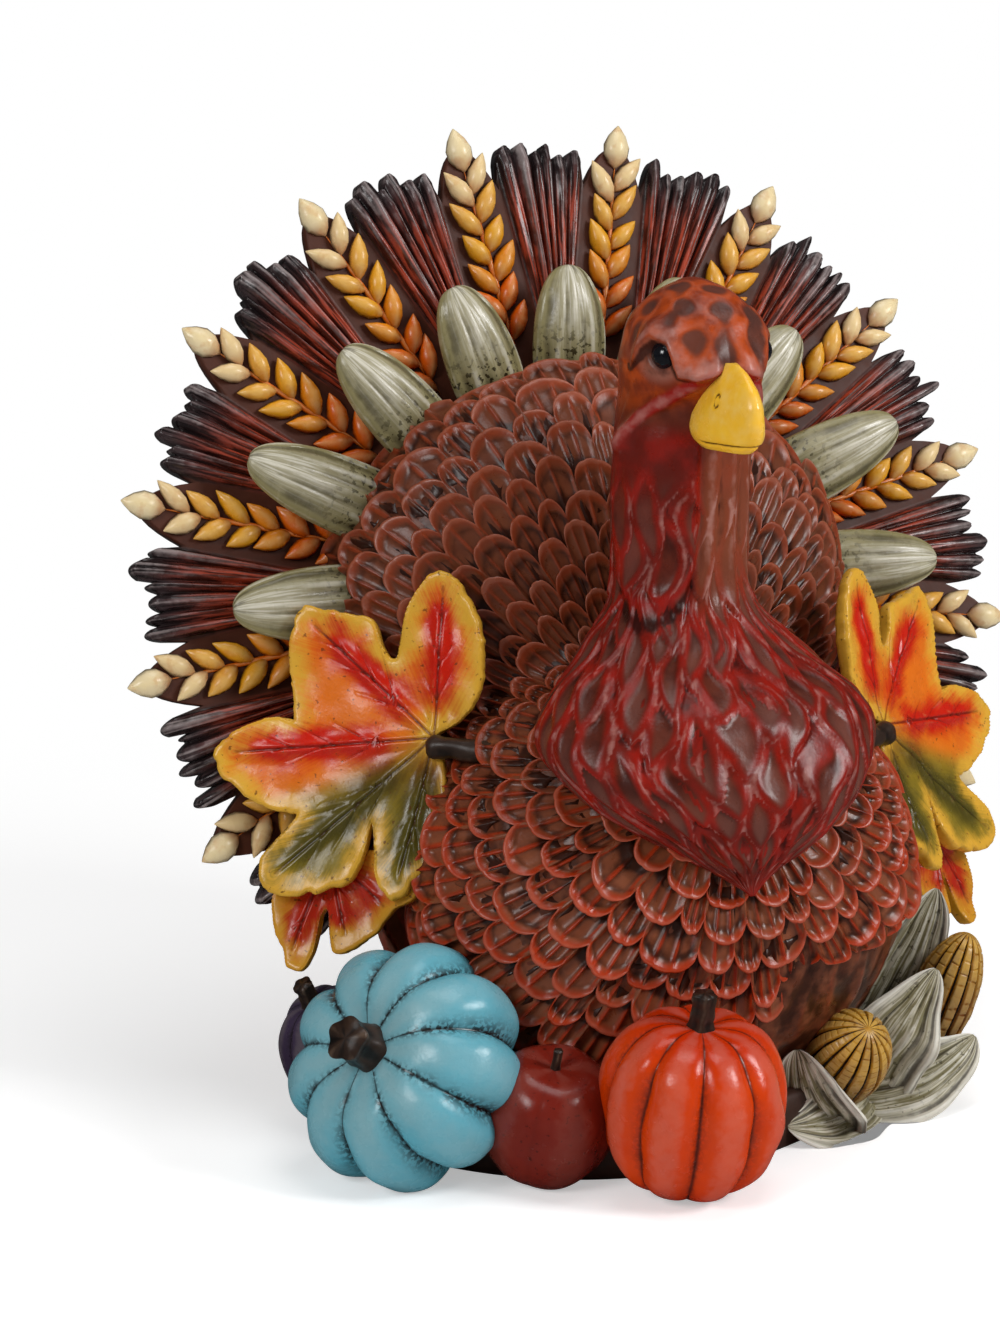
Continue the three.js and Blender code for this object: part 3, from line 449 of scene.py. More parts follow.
def piece(name, nodes, material, shells, ring=False):
    """Object made of closed skins, given as pairs of loops and layers, that rides on the figure."""
    made = [shell(loops, layers, ring) for loops, layers in shells]
    offsets = np.cumsum([0] + [len(m[0]) for m in made])
    at = np.vstack([m[0] for m in made])
    quads = np.vstack([m[1] + o for m, o in zip(made, offsets)])
    fans = np.vstack([m[2] + o for m, o in zip(made, offsets)])
    corners = np.concatenate([quads.ravel(), fans.ravel()])
    starts = np.append(np.arange(len(quads)) * 4, len(quads) * 4 + np.arange(len(fans)) * 3)
    mesh = bpy.data.meshes.new(name)
    mesh.vertices.add(len(at))
    mesh.vertices.foreach_set("co", (at * MM).ravel())
    mesh.loops.add(len(corners))
    mesh.loops.foreach_set("vertex_index", corners)
    mesh.polygons.add(len(starts))
    mesh.polygons.foreach_set("loop_start", starts)
    mesh.update(calc_edges=True)
    mesh.validate()
    mesh.shade_smooth()
    for word in made[0][3]:
        values = np.concatenate([m[3][word] for m in made]).astype(np.float32)
        mesh.attributes.new(word, "FLOAT", "POINT").data.foreach_set("value", values)
    mesh.materials.append(material)
    thing = placed(name, mesh)
    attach(thing, "root")
    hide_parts(*nodes)


# Paint: node tools, shared groups, and one material for each kind of surface


class Value:
    """Output of a node. Sums of values and numbers become Math nodes in the same tree."""

    def __init__(self, socket):
        self.socket = socket
        self.tree = socket.id_data

    def reckoned(self, kind, a, b):
        """Value of one Math node."""
        return wire(self.tree, "Math", 0, {0: a, 1: b}, operation=kind)

    def __add__(self, other):
        return self.reckoned("ADD", self, other)

    def __mul__(self, other):
        return self.reckoned("MULTIPLY", self, other)

    def __sub__(self, other):
        return self.reckoned("SUBTRACT", self, other)

    def __rsub__(self, other):
        return self.reckoned("SUBTRACT", other, self)

    def __rtruediv__(self, other):
        return self.reckoned("DIVIDE", other, self)


def tint(code):
    """Linear colour of a paint code such as #a03020."""
    shade = np.array([int(code[i:i + 2], 16) for i in (1, 3, 5)]) / 255
    linear = np.where(shade <= 0.04045, shade / 12.92, ((shade + 0.055) / 1.055) ** 2.4)
    return (*linear.tolist(), 1.0)


def fill(node, inputs):
    """Node with its inputs given: values are linked, paint codes and numbers are set."""
    for key, given in inputs.items():
        if isinstance(given, Value):
            given.tree.links.new(given.socket, node.inputs[key])
        else:
            node.inputs[key].default_value = tint(given) if isinstance(given, str) else given
    return node


def new_node(tree, kind, inputs, **settings):
    """New node of a kind."""
    node = tree.nodes.new("ShaderNode" + kind)
    for word, setting in settings.items():
        setattr(node, word, setting)
    return fill(node, inputs)


def wire(tree, kind, output, inputs, **settings):
    """Value of one output of a new node."""
    return Value(new_node(tree, kind, inputs, **settings).outputs[output])


def blend(factor, a, b):
    """Colour between two colours."""
    return wire(factor.tree, "Mix", 2, {0: factor, 6: a, 7: b}, data_type="RGBA")


def span(value, low, high):
    """Smooth step of a value between two limits."""
    inputs = {"Value": value, "From Min": low, "From Max": high}
    return wire(value.tree, "MapRange", "Result", inputs, interpolation_type="SMOOTHSTEP")


def layer(tree, word):
    """Value of a mesh layer."""
    return wire(tree, "Attribute", "Fac", {}, attribute_name=word)


def object_place(tree):
    """Place on the piece, in metres."""
    return wire(tree, "TexCoord", "Object", {})


def mottle(tree, size, detail=3.0):
    """Noise from 0 to 1 with patches of a size in millimetres."""
    return wire(tree, "Group", "Mask", {"Size": size, "Detail": detail}, node_tree=MOTTLE)


def height(tree):
    """Height above the floor, in millimetres."""
    return wire(tree, "Group", "Height", {}, node_tree=HEIGHT)


def specks(tree, size, cover):
    """Mask of small specks."""
    return wire(tree, "Group", "Mask", {"Size": size, "Cover": cover}, node_tree=SPECKS)


def streaks(across, along, fineness):
    """Mask of fine strokes."""
    inputs = {"Across": across, "Along": along, "Fineness": fineness}
    return wire(across.tree, "Group", "Mask", inputs, node_tree=STREAKS)


def antique(bare, wash, brushed, wash_amount, brushed_amount, relief=None):
    """Colour of washed and dry-brushed paint, by the piece's relief layer unless another is given, and
    painted shade and highlights where that relief holds them.
    """
    inputs = {
        "Paint": bare,
        "Wash": wash,
        "Brushed": brushed,
        "Relief": relief or layer(bare.tree, "relief"),
        "Wash amount": wash_amount,
        "Brushed amount": brushed_amount,
    }
    return wire(bare.tree, "Group", "Color", inputs, node_tree=ANTIQUE)


def group(name, inputs, outputs, recipe):
    """Shader node group with named sockets. recipe(tree, given) lists the values that it puts out."""
    tree = bpy.data.node_groups.new(name, "ShaderNodeTree")
    for word, start in inputs.items():
        kind = "NodeSocketFloat" if isinstance(start, float) else "NodeSocketColor"
        tree.interface.new_socket(word, in_out="INPUT", socket_type=kind).default_value = start
    for word, kind in outputs.items():
        tree.interface.new_socket(word, in_out="OUTPUT", socket_type="NodeSocket" + kind)
    sockets = tree.nodes.new("NodeGroupInput").outputs
    made = recipe(tree, {word: Value(sockets[word]) for word in inputs})
    fill(tree.nodes.new("NodeGroupOutput"), dict(zip(outputs, made)))
    return tree


def mottle_group(tree, given):
    """Noise from 0 to 1 with patches of a size in millimetres."""
    inputs = {"Vector": object_place(tree), "Scale": 1 / MM / given["Size"], "Detail": given["Detail"]}
    return [wire(tree, "TexNoise", "Fac", inputs)]


def height_group(tree, given):
    """Height above the floor, in millimetres."""
    return [wire(tree, "SeparateXYZ", "Z", {0: object_place(tree)}) * (1 / MM)]


def antique_group(tree, given):
    """Paint with a dark wash left in the hollows and dry-brushed paint on the crests. Where a relief holds
    painted shade and highlights, the wash and brush paint them as well.
    """
    uneven = given["Relief"] + (mottle(tree, 2.2) - 0.5) * 0.45
    low = 1 - span(uneven, 0.05, 0.5)
    high = span(uneven, 0.72, 1.05)
    washed = blend(low * given["Wash amount"], given["Paint"], given["Wash"])
    return [blend(high * given["Brushed amount"], washed, given["Brushed"])]


def varnish_group(tree, given):
    """Satin varnish with patchy gloss, and the fine grain of cast and brushed paint."""
    return [given["Roughness"] + (mottle(tree, 4.0) - 0.5) * 0.3, mottle(tree, 0.9)]


def specks_group(tree, given):
    """Mask of small specks of spattered paint, wider as the cover rises from 0 to 1."""
    limit = 0.75 - given["Cover"] * 0.35
    return [span(mottle(tree, given["Size"], 2.0) - limit, -0.02, 0.04)]


def streaks_group(tree, given):
    """Mask of fine strokes that run along one layer and vary across another."""
    spot = wire(tree, "CombineXYZ", 0, {0: given["Across"] * given["Fineness"], 1: given["Along"]})
    inputs = {"Vector": spot, "Scale": 1.6, "Detail": 3.0, "Distortion": 0.4}
    return [span(wire(tree, "TexNoise", "Fac", inputs), 0.42, 0.62)]


def leaf_group(tree, given):
    """Flames along the veins, a second colour round them and a third towards the margin.

    Fine strokes run slantwise from the veins and feather the colours into each other.
    """
    hatch = streaks(layer(tree, "sweep"), 0.0, 0.55) - 0.5
    ragged = (mottle(tree, 6.0) - 0.5) * 8.0 + hatch * 0.8
    inward = layer(tree, "rim") + ragged
    heat = span(layer(tree, "blush") + ragged * 0.13, 0.1, 0.9)
    warm = blend(span(inward, 0.2, 6.5), given["Edge"], given["Middle"])
    green = blend(span(inward, 0.2, 5.0), given["Edge"], "#86721f")
    leafy = layer(tree, "leafy")
    bare = blend(leafy, blend(heat, warm, given["Flame"]), blend(heat, green, "#524916"))
    stroke = 1 - span(layer(tree, "vein"), 0.1, 0.45)
    bare = blend(stroke * 0.75, bare, blend(leafy, "#7d120c", "#2a2a0e"))
    return [blend(specks(tree, 1.1, 0.2) * 0.7, bare, "#5a2c0e")]


def rind_group(tree, given):
    """Ribbed rind, a second colour towards its ends, dark groove lines and specks by them."""
    bare = blend(mottle(tree, 9.0) * 0.55, given["Body"], given["Far"])
    bare = blend(span(layer(tree, "end"), 0.55, 1.0) * 0.5, bare, given["Far"])
    relief = layer(tree, "relief")
    low = 1 - span(relief, 0.15, 0.8)
    patchy = span(mottle(tree, 8.0), 0.32, 0.52) * given["Dirt"]
    bare = blend(specks(tree, 0.9, 0.82) * (low * patchy), bare, "#15110f")
    line = 1 - span(relief, 0.15, 0.36)
    return [blend(line * 0.65, bare, "#1d0f0c")]


GREY = (0.5, 0.5, 0.5, 1.0)
MASK = {"Mask": "Float"}
COLOUR = {"Color": "Color"}
PAINTS = {"Paint": GREY, "Wash": GREY, "Brushed": GREY}
AMOUNTS = {"Relief": 0.5, "Wash amount": 0.8, "Brushed amount": 0.5}
FINISH = {"Roughness": "Float", "Grain": "Float"}
MOTTLE = group("mottle", {"Size": 4.0, "Detail": 3.0}, MASK, mottle_group)
HEIGHT = group("height", {}, {"Height": "Float"}, height_group)
ANTIQUE = group("antique", {**PAINTS, **AMOUNTS}, COLOUR, antique_group)
VARNISH = group("varnish", {"Roughness": 0.4}, FINISH, varnish_group)
SPECKS = group("specks", {"Size": 2.0, "Cover": 0.3}, MASK, specks_group)
STREAKS = group("streaks", {"Across": 0.0, "Along": 0.0, "Fineness": 8.0}, MASK, streaks_group)
LEAF_PAINT = group("leaf paint", {"Flame": GREY, "Middle": GREY, "Edge": GREY}, COLOUR, leaf_group)
RIND = group("rind", {"Body": GREY, "Far": GREY, "Dirt": 0.5}, COLOUR, rind_group)
PAINT_DEPTH = 0.3 * MM
DULLED = 0.3


def painted(name, colour, roughness=0.26, shine=0.36, bump=0.16, dull=""):
    """Material of varnished paint. colour(tree) gives its base colour, and a dull layer roughens it."""
    material = bpy.data.materials.new(name)
    material.use_nodes = True
    tree = material.node_tree
    varnish = new_node(tree, "Group", {"Roughness": roughness}, node_tree=VARNISH)
    rough, grain_mask = (Value(socket) for socket in varnish.outputs)
    if dull:
        rough = rough + layer(tree, dull) * DULLED
    dents = {"Height": grain_mask, "Strength": bump, "Distance": PAINT_DEPTH}
    fill(tree.nodes["Principled BSDF"], {
        "Base Color": colour(tree),
        "Roughness": rough,
        "Specular IOR Level": shine,
        "Normal": wire(tree, "Bump", "Normal", dents),
    })
    return material


def plumage_colour(tree):
    """Scale feathers: orange-red edges and thin ridges round brown cells, browner on the mantle, with
    painted shade and highlights.
    """
    up = span(height(tree), *MANTLE_TONE)
    patch = mottle(tree, 5.0)
    ridge = blend(up, blend(patch, "#bc380c", "#8e280a"), blend(patch, "#9c4220", "#6e2c18"))
    cell = blend(up, blend(patch, "#6c2e16", "#96583a"), blend(patch, "#50200e", "#82482e"))
    bare = blend(span(layer(tree, "ridge"), 0.05, 0.85), cell, ridge)
    # The wash and brush follow the shade layer: painted shade at roots, undersides and cell corners, a
    # painted highlight on the rims.
    return antique(bare, "#260d05", "#c98a72", 0.9, 0.22, 1 - layer(tree, "shade"))


def neck_colour(tree):
    """Bib, neck and head: grey-brown faces with a painted sheen on their lower ends, deep red between,
    spots and folds.
    """
    face = blend(span(mottle(tree, 6.0), 0.35, 0.7), "#3f140a", "#5e281a")
    # Painted sheen: paler on the lower end of each face.
    face = blend(layer(tree, "tip") * 0.5, face, "#7d4c41")
    red = blend(span(mottle(tree, 7.0), 0.3, 0.7), "#921608", "#68170c")
    bare = blend(span(layer(tree, "ridge"), 0.1, 0.9), face, red)
    skin = blend(span(mottle(tree, 5.0), 0.35, 0.65), "#b04410", "#7d2c10")
    bare = blend(span(height(tree), *BARE_SKIN), bare, skin)
    bare = blend(layer(tree, "throat") * 0.75, bare, "#85442a")
    bare = blend(layer(tree, "fold"), bare, "#94180f")
    bare = blend(layer(tree, "pale") * 0.55, bare, "#a8705f")
    bare = blend(layer(tree, "spot") * 0.8, bare, "#42302b")
    # Wash and pale brush follow the relief layer, with its painted shade, shadows and highlights.
    return antique(bare, "#220905", "#c89a90", 0.85, 0.4)


def beak_colour(tree):
    """Beak: ochre yellow with brown wash in its lines."""
    bare = blend(mottle(tree, 5.0), "#ffcc3c", "#f2b024")
    return antique(bare, "#4a2408", "#f6da8c", 0.95, 0.4)


def fan_colour(tree):
    """Tail feathers: dark brown panels and red-brown streaked strands, near-black brushed tips."""
    along = layer(tree, "along")
    stroke = streaks(layer(tree, "across"), along * 3.0, 9.0)
    warm = blend(stroke, "#481c11", "#a44029")
    dark = blend(stroke, "#1d1516", "#3f3233")
    bare = blend(span(along, 0.6, 0.98), warm, dark)
    bare = blend(layer(tree, "panel"), bare, blend(mottle(tree, 4.0), "#431d0e", "#5c2d19"))
    brushed = span(along, 0.62, 0.97) * 0.3 + 0.15
    return antique(bare, "#100806", "#b9aaa8", 0.9, brushed)


def wheat_colour(tree):
    """Wheat grains: orange at the root of the ear, gold, then cream at its tip."""
    ripe = layer(tree, "along")
    low = blend(span(ripe, 0.1, 0.55), "#d05606", "#dc9a1e")
    bare = blend(span(ripe, 0.6, 0.95), low, "#e6d2a8")
    bare = blend(span(mottle(tree, 3.0), 0.5, 0.7) * 0.35, bare, "#c0701c")
    root = 1 - span(layer(tree, "outer"), 0.08, 0.4)
    bare = blend(root * 0.6, bare, "#9a4408")
    return antique(bare, "#331606", "#f0d896", 0.95, 0.25)


def petal_colour(tree):
    """Husk petals: olive green with pale scratches along the crest and dark specks at the root."""
    along = layer(tree, "along")
    stroke = streaks(layer(tree, "across"), along * 2.0, 8.0)
    bare = blend(mottle(tree, 6.0), "#746c43", "#9c9268")
    crest = 1 - span(layer(tree, "edge"), 0.25, 0.95)
    pale = (stroke * 0.6 + 0.35) * crest * span(along, 0.15, 0.8)
    bare = blend(pale, bare, "#d2cdbc")
    root = 1 - span(along, 0.25, 0.6)
    bare = blend(specks(tree, 1.3, 0.5) * root, bare, "#2b2412")
    return antique(bare, "#2b2210", "#e4dfcf", 0.6, 0.4)


def leaf_colour(flame, middle, edge):
    """Recipe for a leaf: flames along its veins, a second colour, then its edge."""
    def colour(tree):
        inputs = {"Flame": flame, "Middle": middle, "Edge": edge}
        bare = wire(tree, "Group", "Color", inputs, node_tree=LEAF_PAINT)
        return antique(bare, "#4a200a", "#f4dc94", 0.5, 0.35)
    return colour


def squash_colour(body, far, dirt):
    """Recipe for a ribbed fruit: dark groove lines and specks, and a second colour towards its ends."""
    def colour(tree):
        inputs = {"Body": body, "Far": far, "Dirt": dirt}
        bare = wire(tree, "Group", "Color", inputs, node_tree=RIND)
        return antique(bare, "#171210", "#e3d6c8", 0.5, 0.08)
    return colour


def apple_colour(tree):
    """Apple: dark red, mottled, with a few dark specks."""
    bare = blend(mottle(tree, 6.0), "#6e180e", "#7d2518")
    bare = blend(specks(tree, 1.1, 0.25) * 0.6, bare, "#2c0d09")
    return antique(bare, "#2c0d09", "#a86a5c", 0.15, 0.15)


def stem_colour(tree):
    """Stems and stalks: dark brown with worn crests."""
    bare = blend(mottle(tree, 3.0), "#281a14", "#3a281c")
    return antique(bare, "#0d0806", "#7a6350", 0.8, 0.45)


def corn_colour(tree):
    """Cobs: gold at the tip, brown below, dark between the kernels."""
    bare = blend(span(layer(tree, "along"), 0.5, 0.95), "#6e3c10", "#bd8a2a")
    bare = blend(span(mottle(tree, 3.0), 0.4, 0.7), bare, "#8c5a1a")
    return antique(bare, "#140802", "#dcbf78", 1.0, 0.3)


def husk_colour(tree):
    """Corn husks: grey-green with pale ribs, dark streaks and whitish edges."""
    stroke = streaks(layer(tree, "across"), layer(tree, "along") * 2.0, 8.0)
    bare = blend(stroke, "#7d7552", "#c9c3ae")
    bare = blend(specks(tree, 1.2, 0.3) * 0.7, bare, "#3a2f18")
    bare = blend(span(layer(tree, "edge"), 0.45, 0.95) * 0.8, bare, "#e2ded2")
    return antique(bare, "#2a2010", "#efece2", 0.8, 0.6)


def base_colour(tree):
    """Plinth: dark brown."""
    bare = blend(mottle(tree, 8.0), "#33201a", "#432b20")
    return antique(bare, "#120a07", "#7a5f4c", 0.6, 0.2, mottle(tree, 3.0))


def eye_colour(tree):
    """Eyes: blue-black."""
    return blend(mottle(tree, 2.0), "#0c0c10", "#15161d")


PLUMAGE = painted("plumage", plumage_colour, 0.32)
NECK = painted("neck", neck_colour, 0.31, 0.28)
BEAK = painted("beak", beak_colour, 0.24, 0.4, 0.12)
TAIL = painted("tail", fan_colour, dull="panel")
WHEAT = painted("wheat", wheat_colour)
PETAL = painted("petal", petal_colour)
BIG_LEAF_PAINT = painted("maple leaf", leaf_colour("#c41c06", "#e27016", "#dba636"))
SMALL_LEAF_PAINT = painted("small leaf", leaf_colour("#b4240c", "#c8661c", "#d09428"))
STEM = painted("stem", stem_colour, 0.4)
CORN = painted("corn", corn_colour)
HUSK = painted("husk", husk_colour, 0.45)
BASE = painted("plinth", base_colour, 0.5)
EYE = painted("eye", eye_colour, 0.12, 0.6, 0.0)
BLUE_RIND = painted("blue pumpkin", squash_colour("#4ea6ba", "#86aeb4", 0.95), 0.28)
ORANGE_RIND = painted("orange pumpkin", squash_colour("#dc4604", "#ac1200", 0.3), 0.24)
PURPLE_RIND = painted("purple gourd", squash_colour("#2b1934", "#463a50", 0.5), 0.28)
APPLE_SKIN = painted("apple", apple_colour, 0.24, 0.4, 0.12)
# Slot and paint of each fruit
FRUIT_FINISH = {
    "blue_pumpkin": ("pumpkin_blue", BLUE_RIND),
    "orange_pumpkin": ("pumpkin_orange", ORANGE_RIND),
    "purple_gourd": ("gourd_purple", PURPLE_RIND),
    "apple": ("apple_red", APPLE_SKIN),
}


# Body


def lobe_reach(direction, centre, radii):
    """Distance from the heart to a lobe along a direction: the far root of a quadratic."""
    start = (HEART - centre) / radii
    along = direction / radii
    a = np.sum(along * along, axis=-1)
    b = np.sum(along * start, axis=-1)
    c = np.sum(start * start) - 1
    return (np.sqrt(b * b - a * c) - b) / a


def on_body(angle, turn, lift):
    """Point at an angle from the bib and a turn round it, zero at the top.

    The heart plus a direction times the reach of both lobes, blended as (a^4 + b^4)^(1/4).
    """
    angle, turn, lift = np.broadcast_arrays(angle, turn, lift)
    ring, along = turned(1.0, angle)
    across, up = turned(ring, turn)
    direction = grid(across, 0, 0) + up[..., None] * POLE_UP + along[..., None] * POLE
    reaches = [
        lobe_reach(direction, MANTLE_CENTRE, MANTLE_RADII),
        lobe_reach(direction, BELLY_CENTRE, BELLY_RADII),
    ]
    reach = sum(r ** LOBE_BLEND for r in reaches) ** (1 / LOBE_BLEND)
    return HEART + direction * (reach + lift)[..., None]


def before_fan(loops, out):
    """Loops kept in front of the fan's plane and above the floor of the body."""
    short = np.maximum(0, out - (loops - FAN_HUB) @ FAN_OUT)
    return above(loops + short[..., None] * FAN_OUT, BODY_FLOOR)


def ring_table():
    """Angles from the bib by distance along the body and by turn: running sums of surface steps."""
    angle = np.linspace(0, 150, 601)[:, None]
    loops = on_body(angle, np.arange(0, 361, TABLE_TURN), 0.0)
    run = np.linalg.norm(np.diff(loops, axis=0), axis=-1).cumsum(axis=0)
    run = np.vstack([np.zeros(run.shape[1]), run])
    wanted = np.arange(0, 241.0)
    return np.stack([np.interp(wanted, run[:, i], angle[:, 0]) for i in range(run.shape[1])], axis=1)


RING_TABLE = ring_table()


def angle_at(run, turn):
    """Angle from the bib at a distance along the body, blended between the table's entries."""
    row = np.clip(run, 0, len(RING_TABLE) - 1.001)
    column = np.mod(turn, 360) / TABLE_TURN
    i, j = row.astype(int), column.astype(int)
    a = mix(RING_TABLE[i, j], RING_TABLE[i + 1, j], row - i)
    b = mix(RING_TABLE[i, j + 1], RING_TABLE[i + 1, j + 1], row - i)
    return mix(a, b, column - j)


def scale_columns(ring, chance):
    """Columns of a ring of scales: number of its scale, cells in it, place across, turn, free edge.

    The edge of each scale follows an arc, the square root of 1 - t^p with t the place across, and
    has a small lobe for each cell.
    """
    middle = FIRST_RING + ring * RING_PITCH
    length = 2 * np.pi * BODY_RADIUS * np.sin(np.minimum(np.pi / 2, middle / RING_BEND))
    count = int(round(length / SCALE_WIDTH))
    which = np.repeat(np.arange(count), SCALE_COLUMNS)
    cells = chance.choice(CELL_COUNTS, count)[which]
    phase = np.tile(np.linspace(0, 1, SCALE_COLUMNS), count) * cells
    t = 2 * (phase - 0.08 * np.sin(2 * np.pi * phase)) / cells - 1
    shift = chance.uniform(-0.2, 0.2, count)
    starts = np.arange(count + 1) + 0.5 * (ring % 2) + np.append(shift, shift[0])
    turn = 360 / count * mix(starts[which], starts[which + 1], (0.98 * t + 1) / 2)
    lean = t + chance.uniform(-0.25, 0.25, count)[which] * (1 - t * t)
    arc = np.sqrt(1 - 0.85 * np.abs(lean) ** chance.uniform(1.8, 3.2, count)[which])
    edge = middle + SCALLOP * (arc - 0.6) + CELL_LOBE * np.abs(np.sin(np.pi * phase))
    return which, cells, t, turn, edge + chance.normal(0, EDGE_JITTER, count)[which]


def scale_ring(ring):
    """Band of scale feathers at one distance from the bib, closed round the body and underneath.

    Rows run from the roots to the free edge and back below. Cells are flat hollows, 1 - (1 - s)^2.2
    with s the size of a sine across the scale, between thin ridges in a raised rim.
    """
    chance = np.random.default_rng(SEED + ring)
    which, cells, t, turn, edge = scale_columns(ring, chance)
    count = which[-1] + 1
    depth = np.append(SCALE_ROWS, UNDER_ROWS)[:, None] * SCALE_LENGTH
    drop = np.append(SCALE_ROWS * 0, UNDER_DROPS)[:, None] * SCALE_THICKNESS
    top = drop == 0
    fanned = t * (1 + 0.02 * depth)
    inside = (np.abs(fanned) < 1) * top
    bar = np.abs(np.sin(np.pi * cells * (fanned + 1) / 2)) * inside
    cell = (1 - (1 - bar) ** 2.2) * ease(depth, 0.9, 2.0) * ease(depth, 10.3, 7) * inside
    rim = hump(depth - 0.6, 0.6) * top
    slope = SCALE_LIFT * (1 - depth / SCALE_LENGTH) * (1 - 0.3 * t * t)
    own = np.clip(1 + 0.35 * chance.normal(0, 1, count), 0.5, 1.5)[which]
    tone = chance.uniform(0.6, 1.1, count)[which]
    dark = chance.uniform(0, 0.3, count)[which]
    lift = 0.3 + slope * own + RIM_HEIGHT * rim - CELL_DEPTH * cell - drop
    angle = angle_at(edge - depth, turn)
    flank = on_body(angle, turn, 0.0)
    shown = 1 - ease(flank[..., 0], *BARE_FROM) * ease(flank[..., 2], *BARE_BELOW)
    loops = before_fan(on_body(angle, turn, mix(-HIDDEN_DEPTH, lift, shown)), FAN_GAP)
    line = ease(bar, 0.55, 0.15) * inside * ease(depth, 9.5, 6)
    # Painted shade inside each cell, along its ridges and just inside its rim.
    cell_corner_shade = np.maximum(hump(bar - 0.5, 0.22) * ease(depth, 1, 2), hump(depth - 2.2, 0.7)) * inside
    # A random tone for each scale, and painted shade towards its root, under the scale above.
    tone_and_root_shade = 0.3 + dark + ease(depth, 5, 9)
    layers = {
        "ridge": np.maximum(ease(depth, 2.2, 0.7), line) * tone * top,
        # Painted shade, full on the underside and less at the rim, where it leaves a painted highlight.
        "shade": np.where(top, np.clip(tone_and_root_shade - 0.5 * rim + 0.28 * cell_corner_shade, 0, 1), 1.0),
    }
    return loops, layers


def body_core():
    """Smooth breast under the scales: the blended lobes as a grid of angle and turn, with rough strokes."""
    angle = np.linspace(2, 178, 140)[:, None]
    turn = steps(240)
    stroke = noise(on_body(angle, turn, 0.0) * (1, 1, 0.22), 2.4, SEED)
    loops = before_fan(on_body(angle, turn, STROKE_HEIGHT * stroke), FAN_GAP)
    return loops, {"ridge": 0.35 * ease(stroke, 0.2, 0.7), "shade": 0.74 + 0.2 * ease(stroke, 0.1, -0.5)}


def rump_back():
    """Back of the bird: an ellipsoid behind the fan with shallow lozenge feathers.

    The lozenges are the sum of two cosines, round the axis and along it.
    """
    centre = FAN_HUB + FAN_UP * (RUMP_HEIGHT - FAN_HUB[2]) / FAN_UP[2] - FAN_OUT * FAN_THICKNESS
    lift, ring = latitudes(89, 110)
    turn = steps(180)
    side, front = turned(1.0, turn)
    lozenge = np.cos(np.radians(turn * LOZENGES)) + np.cos(np.arcsin(lift) * LOZENGES)
    plate = 1 - np.abs(lozenge) / 2
    loops = centre + grid(ring * side, -ring * front, lift) * RUMP_RADII
    loops = swell(loops, LOZENGE_HEIGHT * plate ** 3)
    over = np.maximum(0, (loops - FAN_HUB) @ FAN_OUT + FAN_THICKNESS + GLUE_GAP)
    loops = above(loops - over[..., None] * FAN_OUT, BASE_HEIGHT + GLUE_GAP)
    return loops, {"ridge": plate ** 4, "shade": 0.6 - 0.6 * plate}


# Head


def head_profile():
    """Rows from the bib's tip to the crown: middle to the front, height, half width, half depth.

    The bib swells as a power of a sine, the neck slims as a smooth step, the head is an ellipsoid.
    """
    t = np.linspace(0.02, 1, 70)
    bulge = np.sin(t * np.pi / 2) ** BIB_ROUNDNESS
    bib = [mix(BIB_TIP[0], BIB_MIDDLE[0], t), mix(BIB_TIP[1], BIB_MIDDLE[1], t)]
    bib += [radius * bulge for radius in BIB_RADII]
    level = np.linspace(BIB_MIDDLE[1] + 1, NECK_TOP[1], 80)
    slim = ease(level, BIB_MIDDLE[1], NECK_FOOT)
    neck = [mix(BIB_MIDDLE[0], NECK_TOP[0], slim), level]
    neck += [mix(radius, NECK_RADIUS, slim) for radius in BIB_RADII]
    rise, ring = turned(1.0, np.linspace(-60, 88, 100))
    lower = np.maximum(0, -rise)
    head = [mix(HEAD_MIDDLE[0], NECK_TOP[0], lower), HEAD_MIDDLE[1] + HEAD_RADII[2] * rise]
    head += [np.maximum(radius * ring, NECK_RADIUS * (lower > 0)) for radius in HEAD_RADII[:2]]
    rows = np.concatenate([np.stack(part) for part in (bib, neck, head)], axis=1)
    soft = np.stack([softened(row, PROFILE_REACH, 5.0) for row in rows])
    ends = rows[:, :PROFILE_REACH], rows[:, -PROFILE_REACH:]
    return np.concatenate([ends[0], soft[:, PROFILE_REACH:-PROFILE_REACH], ends[1]], axis=1)


def facets(around, along, count, seed, first=-99):
    """Overlapping lens feathers on a staggered lattice that closes round, from a first row upwards.

    A feather is a lens, |x| / a + (y / b)^2 < 1, bevelled at its rim, scooped in the middle and
    higher towards its lower end. Gives the height of the highest one, the value of a smaller lens
    in the part of it that shows, the place along it from its middle to its lower end, and its tone.
    """
    shift = np.random.default_rng(seed).uniform(-0.25, 0.25, (3, 64, count))
    best = np.full(np.shape(along), -np.inf)
    island, lower, tone = (np.zeros(best.shape) for _ in range(3))
    for down, over in np.ndindex(5, 3):
        row = np.floor(2 * along).astype(int) + down - 1
        stagger = 0.5 * (row % 2)
        column = np.round(around - stagger).astype(int) + over - 1
        own_shift = shift[:, row % 64, column % count]
        wide = around - column - stagger - own_shift[0]
        tall = along - row / 2 - 0.6 * own_shift[1]
        lens = np.abs(wide) / LENS_SIZE[0] + (tall / LENS_SIZE[1]) ** 2
        face = np.abs(wide) / FACE_SIZE[0] + ((tall + FACE_DROP) / FACE_SIZE[1]) ** 2
        own = 0.5 * ease(lens, 1, 0.6) - 0.35 * ease(face, 0.8, 0.2) - tall
        own = np.where((lens < 1) & (row >= first), own, -np.inf)
        shown = own > best
        island = np.where(shown, face, island)
        lower = np.where(shown, -tall, lower)
        tone = np.where(shown, 4 * own_shift[2], tone)
        best = np.maximum(own, best)
    return best, island, lower, tone


